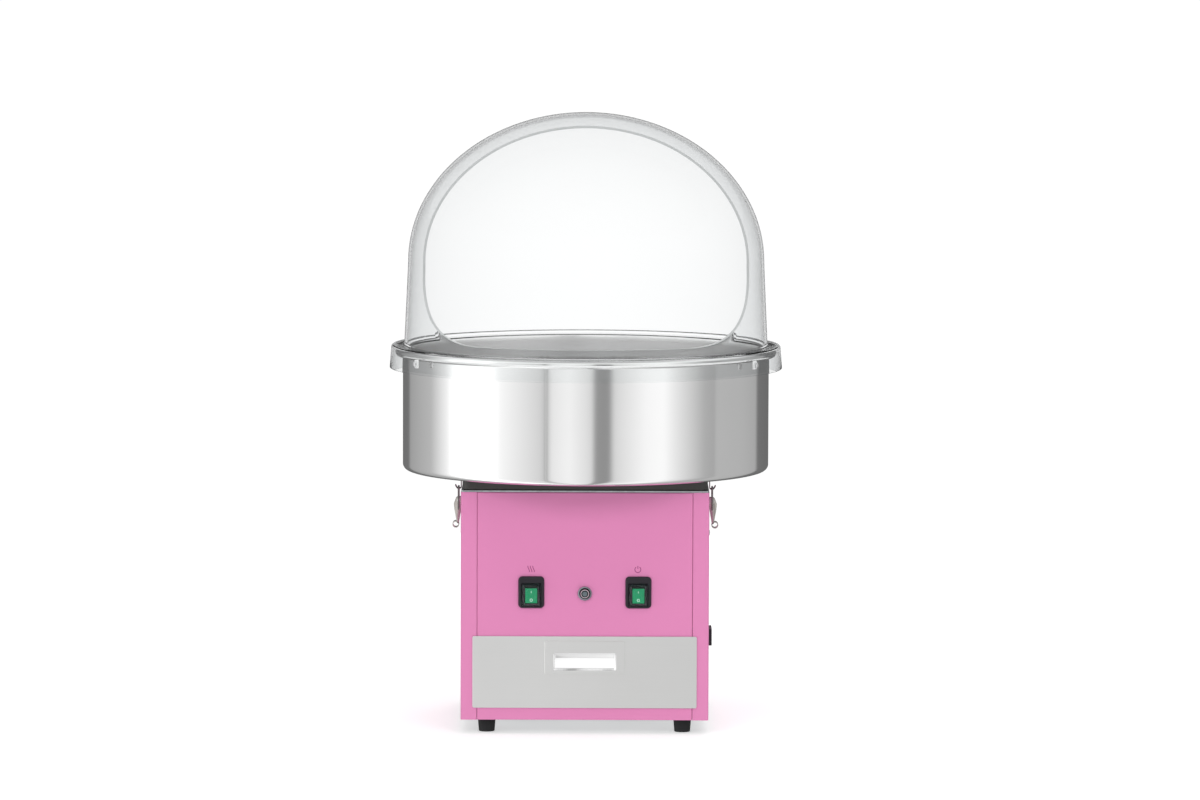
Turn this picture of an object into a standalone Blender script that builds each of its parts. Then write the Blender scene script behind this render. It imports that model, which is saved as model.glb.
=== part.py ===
"""Cotton candy machine: cabinet with a drawer, latched bowl, clear dome and belt-driven spinner head.

Metres, +Z up. The origin is on the spinner's axis at the level of the feet, and the front faces -Y.
"""

import math

import bmesh
import bpy
from mathutils import Vector

OBJECT_NAME = "cotton_candy_machine"

# ---- Driving dimensions -------------------------------------------------------------------------
GAP = 0.0003                    # between neighbouring pieces
SHEET = 0.0012                  # cabinet, tray and bowl steel

CABINET_HALF = 0.167            # half width and half depth
CABINET_BOTTOM = 0.018
CABINET_TOP = 0.326
PANEL_HALF = 0.145              # half width of the front and rear panels, up to the seams
CORNER_RADIUS = 0.003
FOOT_PLACE = (0.132, 0.143)
FOOT_TOP_RADIUS = 0.012
FOOT_BOTTOM_RADIUS = 0.0107

TOP_PLATE = 0.002
SEAT_HALF = 0.165
SEAT_HOLE = 0.058

BOWL_BOTTOM = 0.342
BOWL_RADIUS = 0.250
BOWL_CORNER = 0.008
BOWL_TOP = 0.510
BEAD_RADIUS = 0.0056
BOWL_HOLE = 0.092
COLLAR_TOP = 0.366

DOME_WALL = 0.003
DOME_FLANGE = BOWL_TOP + GAP
DOME_FOOT_RADIUS = 0.248
DOME_SPRING = 0.627             # where the straight wall ends and the crown begins
DOME_SPRING_RADIUS = 0.243
DOME_TOP = 0.830
SKIRT_BOTTOM = 0.4815
SKIRT_RADII = (0.266, 0.268)    # outside, at the top and at the bottom
SKIRT_WALL = 0.0025
MOUTH_BOTTOM = 0.5235
MOUTH_SIDE = -0.104             # y of the mouth's edge at the spring line
MOUTH_CROWN = (-0.088, 0.860)   # y and z where the mouth's edge leaves the crown
MOUTH_ARC = (0.101, 0.095)      # half axes of the quarter ellipse at the mouth's foot
CLIP_ANGLES = {"left": -150.0, "right": -30.0, "rear": 90.0}

DRAWER_OPENING = (0.138, 0.038, 0.128)       # half width, bottom, top
DRAWER_FRONT = (0.151, 0.0345, 0.1317)
DRAWER_FRONT_SHEET = 0.0017
TRAY = (0.135, 0.0415, 0.124)
TRAY_DEPTH = 0.282
PULL_PLATE = (0.054, 0.081, 0.1254)
PULL_MOUTH = (0.042, 0.0856, 0.1089)
PULL_DEPTH = 0.019

SWITCH_PLACES = {"heat": -0.072, "power": 0.072}
SWITCH_FRAME = (0.0175, 0.0215, 0.1913)      # half width, half height, middle
ROCKER_MIDDLE = 0.1876
ROCKER_PIVOT = -0.1665
ROCKER_TILT = math.radians(7.0)
BREAKER_HEIGHT = 0.1898

INLET_PLACE = (-0.030, 0.1165)               # y and z
INLET_FLANGE = 0.0058

LATCH_PIVOT = (0.0066, 0.299)                # outboard of the side panel, and z
BAIL_OFFSET = 0.012                          # bail pivot below the lever pivot
BAIL_LENGTH = 0.0302
BAIL_HALF = 0.010
BAIL_WIRE = 0.0012
CURL_RADIUS = 0.0047

SPINDLE_RADIUS = 0.0075
BELT_PLANE = 0.191
SPINDLE_GROOVE = 0.032
MOTOR_GROOVE = 0.016                         # half the spindle's, so the motor turns twice as fast
BELT_THICKNESS = 0.0057
MOTOR_Y = 0.095
MOTOR_RADIUS = 0.042
HEAD_BOTTOM = 0.402
HEAD_RADIUS = 0.078

FACING_FRONT = (math.radians(90), 0.0, 0.0)                   # local Z points forward, to -Y
FACING_SIDE = (math.radians(90), 0.0, math.radians(90))       # local Z points to +X
FLAT = (0.0, 0.0, 0.0)


# ---- Materials ----------------------------------------------------------------------------------
def material(name, color, roughness, metallic=0.0, transmission=0.0):
    """A Principled material; the colour is sRGB, 0 to 255."""
    made = bpy.data.materials.new(name)
    made.use_nodes = True
    shader = made.node_tree.nodes["Principled BSDF"]
    linear = [(value / 255.0) ** 2.2 for value in color]
    shader.inputs["Base Color"].default_value = (*linear, 1.0)
    shader.inputs["Roughness"].default_value = roughness
    shader.inputs["Metallic"].default_value = metallic
    shader.inputs["Transmission Weight"].default_value = transmission
    made.diffuse_color = (*linear, 1.0 - 0.7 * transmission)
    return made


def make_materials():
    return {
        "pink": material("pink_enamel", (229, 144, 190), 0.35),
        "stainless": material("stainless_steel", (200, 199, 197), 0.28, 1.0),
        "chrome": material("chrome", (220, 221, 224), 0.08, 1.0),
        "aluminium": material("aluminium", (190, 192, 196), 0.35, 1.0),
        "steel": material("zinc_steel", (170, 172, 175), 0.4, 1.0),
        "copper": material("copper", (184, 115, 80), 0.3, 1.0),
        "rubber": material("black_rubber", (26, 26, 27), 0.7),
        "black": material("black_plastic", (24, 24, 26), 0.45),
        "bakelite": material("bakelite", (72, 44, 32), 0.5),
        "carbon": material("carbon", (40, 40, 42), 0.6),
        "green": material("green_rocker", (45, 168, 120), 0.3),
        "clear": material("clear_plastic", (240, 244, 246), 0.08, 0.0, 0.9),
        "white": material("white_plastic", (232, 233, 232), 0.4),
        "grey": material("grey_button", (170, 184, 184), 0.35),
    }


# ---- Outlines -----------------------------------------------------------------------------------
def arc(center, radius, start, end, steps):
    """Points on an arc, from start to end in degrees; radius may be a pair for an ellipse."""
    across, up = radius if isinstance(radius, tuple) else (radius, radius)
    angles = [math.radians(start + (end - start) * k / steps) for k in range(steps + 1)]
    return [(center[0] + across * math.cos(a), center[1] + up * math.sin(a)) for a in angles]


def circle(center, radius, steps):
    return arc(center, radius, 0, 360 * (steps - 1) / steps, steps - 1)


def rectangle(low, high, radius=0.0, steps=3):
    """A rectangle's outline, with round corners when a radius is given."""
    (x0, y0), (x1, y1) = low, high
    if radius == 0.0:
        return [(x0, y0), (x1, y0), (x1, y1), (x0, y1)]
    corners = [
        (x1 - radius, y1 - radius, 0),
        (x0 + radius, y1 - radius, 90),
        (x0 + radius, y0 + radius, 180),
        (x1 - radius, y0 + radius, 270),
    ]
    return [point for x, y, a in corners for point in arc((x, y), radius, a, a + 90, steps)]


def bent_strip(path, thickness, bend, steps=3):
    """Outline of a strip of sheet whose middle follows a path, with a round bend at each corner."""
    points = [Vector(point) for point in path]
    left, right = [], []

    def add(center, outward, left_radius, right_radius):
        left.append(center + outward * left_radius)
        right.append(center + outward * right_radius)

    ways = [(b - a).normalized() for a, b in zip(points, points[1:])]
    normals = [Vector((-way.y, way.x)) for way in ways]
    add(points[0], normals[0], thickness / 2, -thickness / 2)
    for k, corner in enumerate(points[1:-1]):
        turn = math.atan2(ways[k].cross(ways[k + 1]), ways[k].dot(ways[k + 1]))
        sign = math.copysign(1.0, turn)
        start = corner - ways[k] * bend * math.tan(abs(turn) / 2)
        center = start + normals[k] * bend * sign
        for step in range(steps + 1):
            angle = turn * step / steps
            outward = normals[k] * -sign
            outward = Vector((
                outward.x * math.cos(angle) - outward.y * math.sin(angle),
                outward.x * math.sin(angle) + outward.y * math.cos(angle),
            ))
            add(center, outward, bend - sign * thickness / 2, bend + sign * thickness / 2)
    add(points[-1], normals[-1], thickness / 2, -thickness / 2)
    return [tuple(point) for point in left + right[::-1]]


def side_outline(side, points):
    """Places an outline of (outboard, z) points on the left (-1) or right (+1) side of the cabinet."""
    return [(side * (CABINET_HALF + out), z) for out, z in points]


# ---- Objects ------------------------------------------------------------------------------------
class Workshop:
    """Makes objects and files them in the part or the cutter collection."""

    def __init__(self):
        self.parts = bpy.data.collections.new(OBJECT_NAME)
        self.cutters = bpy.data.collections.new("cutters")
        bpy.context.scene.collection.children.link(self.parts)
        bpy.context.scene.collection.children.link(self.cutters)
        self.materials = make_materials()
        self.parents = {}

    def place(self, name, data, paint, location, rotation):
        """Links data as a part, or as a cutter when it has no paint."""
        made = bpy.data.objects.new(name, data)
        made.location = location
        made.rotation_euler = rotation
        if paint is None:
            self.cutters.objects.link(made)
            made.hide_render = True
            made.display_type = "WIRE"
        else:
            self.parts.objects.link(made)
            data.materials.append(self.materials[paint])
        return made

    def empty(self, name, location):
        """An empty on a joint's axis, which carries the pieces of a moving body."""
        made = bpy.data.objects.new(name, None)
        made.empty_display_size = 0.02
        made.location = location
        self.parts.objects.link(made)
        self.parents[name] = made
        return made

    def box(self, name, low, high, paint=None, bevel=0.0):
        size = Vector(high) - Vector(low)
        shape = bmesh.new()
        bmesh.ops.create_cube(shape, size=1.0)
        bmesh.ops.scale(shape, vec=size, verts=shape.verts)
        mesh = bpy.data.meshes.new(name)
        shape.to_mesh(mesh)
        shape.free()
        made = self.place(name, mesh, paint, (Vector(low) + Vector(high)) / 2, FLAT)
        if bevel:
            rounding = made.modifiers.new("Bevel", "BEVEL")
            rounding.width = bevel
            rounding.segments = 2
        return made

    def cylinder(self, name, radius, length, location, rotation, paint=None, sides=12):
        """A cylinder whose middle is at the location and whose axis is the local Z."""
        shape = bmesh.new()
        bmesh.ops.create_cone(
            shape, cap_ends=True, segments=sides, radius1=radius, radius2=radius, depth=length
        )
        mesh = bpy.data.meshes.new(name)
        shape.to_mesh(mesh)
        shape.free()
        mesh.shade_smooth()
        mesh.set_sharp_from_angle(angle=math.radians(40))
        return self.place(name, mesh, paint, location, rotation)

    def turned(self, name, profile, paint, sides, location=(0, 0, 0), rotation=FLAT):
        """A Screw of a profile of (radius, height) points; it is closed unless it ends on the axis."""
        count = len(profile)
        edges = [(k, k + 1) for k in range(count - 1)]
        if profile[0][0] > 0.0:
            edges.append((count - 1, 0))
        mesh = bpy.data.meshes.new(name)
        mesh.from_pydata([(radius, 0.0, height) for radius, height in profile], edges, [])
        made = self.place(name, mesh, paint, location, rotation)
        screw = made.modifiers.new("Screw", "SCREW")
        screw.steps = sides
        screw.render_steps = sides
        screw.use_merge_vertices = True
        screw.merge_threshold = 0.00001
        screw.use_smooth_shade = True
        return made

    def plate(self, name, outline, thickness, location, rotation, paint=None, holes=()):
        """A flat outline with holes, extruded about its middle plane and welded into a mesh."""
        curve = bpy.data.curves.new(name, "CURVE")
        curve.dimensions = "2D"
        curve.fill_mode = "BOTH"
        curve.extrude = thickness / 2
        for points in (outline, *holes):
            spline = curve.splines.new("POLY")
            spline.points.add(len(points) - 1)
            for point, (x, y) in zip(spline.points, points):
                point.co = (x, y, 0.0, 1.0)
            spline.use_cyclic_u = True
        return self.mesh_from(curve, name, location, rotation, paint)

    def wire(self, name, path, radius, location, rotation, paint, resolution=2):
        """A round wire along (x, y) points in the object's own plane, with filled ends."""
        curve = bpy.data.curves.new(name, "CURVE")
        curve.dimensions = "3D"
        curve.bevel_depth = radius
        curve.bevel_resolution = resolution
        curve.use_fill_caps = True
        spline = curve.splines.new("POLY")
        spline.points.add(len(path) - 1)
        for point, (x, y) in zip(spline.points, path):
            point.co = (x, y, 0.0, 1.0)
        return self.mesh_from(curve, name, location, rotation, paint)

    def mesh_from(self, curve, name, location, rotation, paint):
        """Turns a curve into a mesh object with welded caps."""
        helper = self.place(name, curve, None, location, rotation)
        bpy.context.view_layer.update()
        evaluated = helper.evaluated_get(bpy.context.evaluated_depsgraph_get())
        mesh = bpy.data.meshes.new_from_object(evaluated)
        bpy.data.objects.remove(helper)
        bpy.data.curves.remove(curve)
        mesh.name = name
        mesh.materials.clear()
        shape = bmesh.new()
        shape.from_mesh(mesh)
        bmesh.ops.remove_doubles(shape, verts=shape.verts, dist=0.00001)
        bmesh.ops.recalc_face_normals(shape, faces=shape.faces)
        shape.to_mesh(mesh)
        shape.free()
        mesh.shade_smooth()
        mesh.set_sharp_from_angle(angle=math.radians(40))
        return self.place(name, mesh, paint, location, rotation)

    def ride(self, parent, *objects):
        """Parents objects to an empty without moving them."""
        empty = self.parents[parent]
        for made in objects:
            made.parent = empty
            made.matrix_parent_inverse.translation = -empty.location


def cut(target, *cutters, operation="DIFFERENCE"):
    for cutter in cutters:
        boolean = target.modifiers.new(operation.title(), "BOOLEAN")
        boolean.operation = operation
        boolean.object = cutter
    return target


def join(target, *others):
    return cut(target, *others, operation="UNION")


# ---- Cabinet ------------------------------------------------------------------------------------
def make_side_panels(shop):
    """A C-shaped sheet on each side; its return flanges are flush with the front and rear panels."""
    middle = CABINET_HALF - SHEET / 2
    height = CABINET_TOP - CABINET_BOTTOM
    bend = CORNER_RADIUS - SHEET / 2
    inner = PANEL_HALF + GAP
    for side, name in ((-1, "left_side_panel"), (1, "right_side_panel")):
        path = [(side * inner, -middle), (side * middle, -middle)]
        path += [(side * middle, middle), (side * inner, middle)]
        place = (0, 0, CABINET_BOTTOM + height / 2)
        panel = shop.plate(name, bent_strip(path, SHEET, bend), height, place, FLAT, "pink")
        if side > 0:
            y, z = INLET_PLACE
            low = (CABINET_HALF - 0.01, y - 0.0145, z - 0.0105)
            high = (CABINET_HALF + 0.01, y + 0.0145, z + 0.0105)
            cut(panel, shop.box("inlet_cutout", low, high))


def panel_flanges(shop, panel, facing):
    """Adds the return flanges that stiffen a front (-1) or rear (+1) panel."""
    depth = 0.014
    near = CABINET_HALF - SHEET / 2
    for side in (-1, 1):
        xs = sorted((side * PANEL_HALF, side * (PANEL_HALF - SHEET)))
        ys = sorted((facing * near, facing * (near - depth)))
        low = (xs[0], ys[0], CABINET_BOTTOM + 0.004)
        high = (xs[1], ys[1], CABINET_TOP - 0.004)
        join(panel, shop.box(f"{panel.name}_flange_{side}", low, high))


def make_front_panel(shop):
    half, bottom, top = DRAWER_OPENING
    holes = [rectangle((-half, bottom), (half, top), 0.003)]
    for x in SWITCH_PLACES.values():
        low = (x - 0.0113, ROCKER_MIDDLE - 0.0138)
        high = (x + 0.0113, ROCKER_MIDDLE + 0.0138)
        holes.append(rectangle(low, high))
    holes.append(circle((0, BREAKER_HEIGHT), 0.0062, 20))
    outline = rectangle((-PANEL_HALF, CABINET_BOTTOM), (PANEL_HALF, CABINET_TOP))
    place = (0, -CABINET_HALF + SHEET / 2, 0)
    panel = shop.plate("front_panel", outline, SHEET, place, FACING_FRONT, "pink", holes)
    panel_flanges(shop, panel, -1)


def vent_rows(center_x, low, rows, width, height, pitch):
    """Outlines of a stack of level slots."""
    for row in range(rows):
        z = low + row * pitch
        yield rectangle((center_x - width / 2, z), (center_x + width / 2, z + height))


def make_rear_panel(shop):
    holes = []
    for x in (-0.07, 0.07):
        holes += vent_rows(x, 0.225, 6, 0.08, 0.005, 0.012)
    outline = rectangle((-PANEL_HALF, CABINET_BOTTOM), (PANEL_HALF, CABINET_TOP))
    place = (0, CABINET_HALF - SHEET / 2, 0)
    panel = shop.plate("rear_panel", outline, SHEET, place, FACING_FRONT, "pink", holes)
    panel_flanges(shop, panel, 1)


def make_base_and_top(shop):
    inside = CABINET_HALF - SHEET - GAP
    holes = []
    for x in (-0.06, 0.06):
        holes += vent_rows(x, -0.06, 6, 0.07, 0.006, 0.024)
    place = (0, 0, CABINET_BOTTOM + 0.00075)
    outline = rectangle((-inside, -inside), (inside, inside), 0.004)
    shop.plate("base_plate", outline, 0.0015, place, FLAT, "steel", holes)

    edge = CABINET_HALF - 0.0005
    outline = rectangle((-edge, -edge), (edge, edge), CORNER_RADIUS)
    place = (0, 0, CABINET_TOP + GAP + TOP_PLATE / 2)
    shop.plate("top_plate", outline, TOP_PLATE, place, FLAT, "stainless", [circle((0, 0), 0.030, 24)])


def make_seat(shop):
    """The black seat under the bowl, with a ring that centres the bowl's collar."""
    low = CABINET_TOP + TOP_PLATE + 2 * GAP
    high = BOWL_BOTTOM - GAP
    outline = rectangle((-SEAT_HALF, -SEAT_HALF), (SEAT_HALF, SEAT_HALF), 0.012)
    place = (0, 0, (low + high) / 2)
    hole = circle((0, 0), SEAT_HOLE, 24)
    seat = shop.plate("bowl_seat", outline, high - low, place, FLAT, "black", [hole])
    outer = BOWL_HOLE - 0.0035
    inner = outer - 0.004
    ring = shop.turned(
        "seat_ring",
        [(inner, high + 0.010), (outer, high + 0.010), (outer, high - 0.004), (inner, high - 0.004)],
        None,
        32,
    )
    join(seat, ring)


def make_feet(shop):
    """Tapered rubber feet with a screw recess in the sole."""
    top = CABINET_BOTTOM - GAP
    profile = [(0.0, top), (FOOT_TOP_RADIUS, top), (FOOT_BOTTOM_RADIUS, 0.0), (0.004, 0.0)]
    profile += [(0.004, 0.006), (0.0, 0.006)]
    for y_name, y in (("front", -1), ("rear", 1)):
        for x_name, x in (("left", -1), ("right", 1)):
            place = (x * FOOT_PLACE[0], y * FOOT_PLACE[1], 0)
            shop.turned(f"foot_{y_name}_{x_name}", profile, "rubber", 16, place)


def make_inlet(shop):
    """Appliance inlet: a flange with ears on the side panel, a body behind it and an open socket."""
    y, z = INLET_PLACE
    face = CABINET_HALF + GAP
    inlet = shop.box(
        "power_inlet", (face, y - 0.0235, z - 0.0115), (face + INLET_FLANGE, y + 0.0235, z + 0.0115),
        "black", 0.0008,
    )
    body = shop.box(
        "inlet_body", (face - 0.022, y - 0.0138, z - 0.0098), (face + 0.001, y + 0.0138, z + 0.0098)
    )
    half_y, half_z, chamfer = 0.0122, 0.0082, 0.0045
    socket = [(y - half_y, z - half_z), (y + half_y, z - half_z), (y + half_y, z + half_z - chamfer)]
    socket += [(y + half_y - chamfer, z + half_z), (y - half_y + chamfer, z + half_z)]
    socket += [(y - half_y, z + half_z - chamfer)]
    depth = 0.024
    place = (face - 0.018 + depth / 2, 0, 0)
    cutter = shop.plate("inlet_socket", socket, depth, place, FACING_SIDE)
    cut(join(inlet, body), cutter)


# ---- Bowl and dome ------------------------------------------------------------------------------
def make_bowl(shop):
    """Spun sheet: a collar round the hole, a flat floor, a straight wall and a rolled rim."""
    bead = (BOWL_RADIUS - SHEET + BEAD_RADIUS, BOWL_TOP - BEAD_RADIUS)
    meet = math.degrees(math.acos((BOWL_RADIUS - bead[0]) / BEAD_RADIUS))
    corner = (BOWL_RADIUS - BOWL_CORNER, BOWL_BOTTOM + BOWL_CORNER)
    root = 0.003
    foot = (BOWL_HOLE + SHEET + root, BOWL_BOTTOM + SHEET + root)
    profile = arc(bead, BEAD_RADIUS, 180, -meet, 7)
    profile += arc(corner, BOWL_CORNER, 0, -90, 3)
    profile += arc(foot, root + SHEET, 270, 180, 2)
    profile += [(BOWL_HOLE, COLLAR_TOP), (BOWL_HOLE + SHEET, COLLAR_TOP)]
    profile += arc(foot, root, 180, 270, 2)
    profile += arc(corner, BOWL_CORNER - SHEET, -90, 0, 3)
    shop.turned("bowl", profile, "stainless", 48)


def dome_outer_radius(z):
    """Radius of the straight wall: it leans in slightly towards the spring line."""
    share = (DOME_SPRING - z) / (DOME_SPRING - DOME_FLANGE)
    return DOME_SPRING_RADIUS + (DOME_FOOT_RADIUS - DOME_SPRING_RADIUS) * share


def make_dome(shop):
    """Clear cover: crown, wall, flange on the rim and a skirt round it, with a mouth at the front."""
    crown = DOME_TOP - DOME_SPRING
    spring = (0.0, DOME_SPRING)
    steps = 7
    top = DOME_FLANGE + DOME_WALL
    root = 0.003
    turn = 0.004
    outside = arc(spring, (DOME_SPRING_RADIUS, crown), 90, 0, steps)
    outside[0] = (0.0, DOME_TOP)
    outside += arc((DOME_FOOT_RADIUS + root, top + root), root, 180, 270, 2)
    outside += arc((SKIRT_RADII[0] - turn, top - turn), turn, 90, 0, 3)
    outside.append((SKIRT_RADII[1], SKIRT_BOTTOM))
    inside = [(SKIRT_RADII[1] - SKIRT_WALL, SKIRT_BOTTOM)]
    inside += arc((SKIRT_RADII[0] - turn, DOME_FLANGE - 0.0015), (turn - SKIRT_WALL, 0.0015), 0, 90, 2)
    inside.append((dome_outer_radius(DOME_FLANGE) - DOME_WALL, DOME_FLANGE))
    inner = (DOME_SPRING_RADIUS - DOME_WALL, crown - DOME_WALL)
    inside += arc(spring, inner, 0, 90, steps)
    inside[-1] = (0.0, DOME_TOP - DOME_WALL)
    dome = shop.turned("dome", outside + inside, "clear", 48)

    far = -0.32
    foot = (MOUTH_SIDE - MOUTH_ARC[0], DOME_SPRING - 0.0085)
    mouth = [(far, MOUTH_BOTTOM)]
    mouth += arc(foot, MOUTH_ARC, -90, 0, 10)
    mouth += [MOUTH_CROWN, (far, MOUTH_CROWN[1])]
    cut(dome, shop.plate("mouth", mouth, 0.6, (0, 0, 0), FACING_SIDE))

    clip_radius = (0.2611, 0.2634)
    for name, angle in CLIP_ANGLES.items():
        clip = shop.box(
            f"dome_clip_{name}", (clip_radius[0], -0.004, 0.490), (clip_radius[1], 0.004, 0.501), "white"
        )
        turn_to = math.radians(angle)
        middle = (clip_radius[0] + clip_radius[1]) / 2
        clip.location = (middle * math.cos(turn_to), middle * math.sin(turn_to), clip.location.z)
        clip.rotation_euler = (0, 0, turn_to)
        shop.ride("dome_lift", clip)
    shop.ride("dome_lift", dome)


# ---- Latches ------------------------------------------------------------------------------------
def make_catch(shop, side, name):
    """A strip under the bowl that hangs beside the cabinet and ends in a hook."""
    path = [(0.026, 0.3411), (0.0031, 0.3411), (0.0031, 0.3151), (0.00853, 0.3151)]
    tip = (path[-1][0] + 0.0052 * math.cos(math.radians(60)), path[-1][1] + 0.0052 * math.sin(math.radians(60)))
    outline = side_outline(side, bent_strip(path + [tip], SHEET, 0.0012))
    shop.plate(f"catch_plate_{name}", outline, 0.015, (0, 0, 0), FACING_FRONT, "stainless")


def make_latch_base(shop, side, name):
    """Backing plate with two ears that carry the lever's pin."""
    pivot_out, pivot_z = LATCH_PIVOT
    wall = CABINET_HALF + GAP
    xs = sorted((side * wall, side * (wall + 0.0015)))
    base = shop.box(f"latch_base_{name}", (xs[0], -0.011, 0.249), (xs[1], 0.011, 0.306), "stainless")
    ear = arc((pivot_out, pivot_z), 0.0042, 90, -90, 6)
    ear = side_outline(side, [(0.0010, pivot_z + 0.0042)] + ear + [(0.0010, pivot_z - 0.0042)])
    for y in (-0.0076, 0.0076):
        join(base, shop.plate(f"ear_{name}_{y}", ear, SHEET, (0, y, 0), FACING_FRONT))
    x = side * (CABINET_HALF + pivot_out)
    join(base, shop.cylinder(f"pin_{name}", 0.0015, 0.0168, (x, 0, pivot_z), FACING_FRONT, None, 12))
    foot_x = side * (wall + 0.0018)
    join(base, shop.cylinder(f"rivet_{name}", 0.0035, 0.0036, (foot_x, 0, 0.2545), (0, math.radians(90), 0)))


def make_lever(shop, side, name):
    """Channel lever, open towards the cabinet, with a curled end to pull on."""
    pivot_out, pivot_z = LATCH_PIVOT
    x = side * (CABINET_HALF + pivot_out)
    place = (x, 0, pivot_z)

    def mirrored(points):
        return [(side * out, z) for out, z in points]

    round_end = arc((0, 0), 0.0043, 180, 20, 6)
    outline = round_end + [(0.0065, -0.005), (0.0058, -0.012), (0.0022, -0.032), (-0.0004, -0.032)]
    outline += [(-0.0034, -0.014)]
    lever = shop.plate(f"latch_lever_{name}", mirrored(outline), 0.0134, place, FACING_FRONT, "stainless")
    curl_place = (x + side * 0.0038, 0, pivot_z - 0.0334)
    join(lever, shop.cylinder(f"curl_{name}", CURL_RADIUS, 0.0134, curl_place, FACING_FRONT))
    hollow = [(-0.012, 0.0031), (0.0026, 0.0031), (0.0053, -0.0048), (0.0046, -0.012)]
    hollow += [(0.0018, -0.0275), (-0.012, -0.0275)]
    cut(
        lever,
        shop.plate(f"channel_{name}", mirrored(hollow), 0.011, place, FACING_FRONT),
        shop.cylinder(f"curl_bore_{name}", CURL_RADIUS - SHEET, 0.02, curl_place, FACING_FRONT),
        shop.cylinder(f"pin_hole_{name}", 0.0018, 0.02, place, FACING_FRONT, None, 12),
        shop.cylinder(
            f"bail_hole_{name}", 0.0015, 0.02, (x, 0, pivot_z - BAIL_OFFSET), FACING_FRONT, None, 12
        ),
    )
    shop.ride(f"latch_lever_pivot_{name}", lever)


def make_bail(shop, side, name):
    """Wire loop from the lever's two sides up round the hook."""
    pivot_out, pivot_z = LATCH_PIVOT
    bend = 0.0022
    stub = 0.0050
    foot = arc((BAIL_HALF - bend, bend), bend, -90, 0, 3)
    head = arc((BAIL_HALF - bend, BAIL_LENGTH - bend), bend, 0, 90, 3)
    half = [(stub, 0.0)] + foot + head
    path = half + [(-y, up) for y, up in half[::-1]]
    place = (side * (CABINET_HALF + pivot_out), 0, pivot_z - BAIL_OFFSET)
    bail = shop.wire(f"latch_bail_{name}", path, BAIL_WIRE, place, FACING_SIDE, "stainless")
    shop.ride(f"latch_bail_pivot_{name}", bail)


def make_latches(shop):
    pivot_out, pivot_z = LATCH_PIVOT
    for side, name in ((-1, "left"), (1, "right")):
        x = side * (CABINET_HALF + pivot_out)
        shop.empty(f"latch_lever_pivot_{name}", (x, 0, pivot_z))
        shop.empty(f"latch_bail_pivot_{name}", (x, 0, pivot_z - BAIL_OFFSET))
        make_catch(shop, side, name)
        make_latch_base(shop, side, name)
        make_lever(shop, side, name)
        make_bail(shop, side, name)


# ---- Drawer -------------------------------------------------------------------------------------
def make_runners(shop):
    """Rails that stand on the base plate and carry the tray's lower edges."""
    sheet = 0.0015
    web = 0.1385
    shelf = TRAY[1] - GAP - sheet / 2
    floor = CABINET_BOTTOM + 0.0015 + GAP + sheet / 2
    for side, name in ((-1, "left"), (1, "right")):
        path = [(side * (web + 0.016), floor), (side * web, floor), (side * web, shelf)]
        path += [(side * (web - 0.014), shelf)]
        outline = bent_strip(path, sheet, 0.0012, 2)
        shop.plate(f"drawer_runner_{name}", outline, 0.290, (0, -0.016, 0), FACING_FRONT, "steel")


def make_drawer(shop):
    """Tray, overlay front and the flush pull that passes through both."""
    shop.empty("drawer_slide", (0, -CABINET_HALF, 0.083))
    half, bottom, top = TRAY
    front = -CABINET_HALF
    rear = front + TRAY_DEPTH
    tray = shop.box("drawer_tray", (-half, front, bottom), (half, rear, top), "steel")
    inner = (half - SHEET, front + SHEET, bottom + SHEET)
    inside = shop.box("tray_inside", (-inner[0], inner[1], inner[2]), (inner[0], rear - SHEET, top + 0.01))
    cup_half = PULL_MOUTH[0] + 0.0045
    cup_low = PULL_MOUTH[1] - 0.003
    cup_high = PULL_MOUTH[2] + 0.003
    hole = shop.box("tray_hole", (-cup_half, front - 0.01, cup_low), (cup_half, front + 0.01, cup_high))
    cut(tray, inside, hole)

    half, bottom, top = DRAWER_FRONT
    outline = rectangle((-half, bottom), (half, top), 0.0025)
    opening = rectangle((-cup_half, cup_low), (cup_half, cup_high))
    face = front - GAP - DRAWER_FRONT_SHEET
    place = (0, face + DRAWER_FRONT_SHEET / 2, 0)
    plate = shop.plate(
        "drawer_front", outline, DRAWER_FRONT_SHEET, place, FACING_FRONT, "stainless", [opening]
    )

    pull = make_pull(shop, face - GAP)
    shop.ride("drawer_slide", tray, plate, pull)


def make_pull(shop, back):
    """Flush pull: a face plate with a scooped cup behind its mouth."""
    half, bottom, top = PULL_PLATE
    mouth_half, low, high = PULL_MOUTH
    outline = rectangle((-half, bottom), (half, top), 0.002)
    thickness = 0.0015
    place = (0, back - thickness / 2, 0)
    pull = shop.plate("drawer_pull", outline, thickness, place, FACING_FRONT, "stainless")
    sheet = 0.001
    join(pull, shop.plate(
        "cup_outside",
        scoop(back - thickness / 2, back + PULL_DEPTH + sheet, low - sheet, high + sheet, 0.0055),
        2 * (mouth_half + sheet), (0, 0, 0), FACING_SIDE,
    ))
    return cut(pull, shop.plate(
        "cup_inside", scoop(back - 0.01, back + PULL_DEPTH, low, high, 0.0045),
        2 * mouth_half, (0, 0, 0), FACING_SIDE,
    ))


def scoop(front, deep, low, high, bend):
    """Side outline of the cup: a level roof, a round back corner and a rising floor."""
    outline = [(front, low), (deep - 0.013, low)]
    outline += arc((deep - 0.013, low + 0.013), 0.013, -90, 0, 5)[1:]
    outline += arc((deep - bend, high - bend), bend, 0, 90, 3)
    return outline + [(front, high)]


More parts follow.
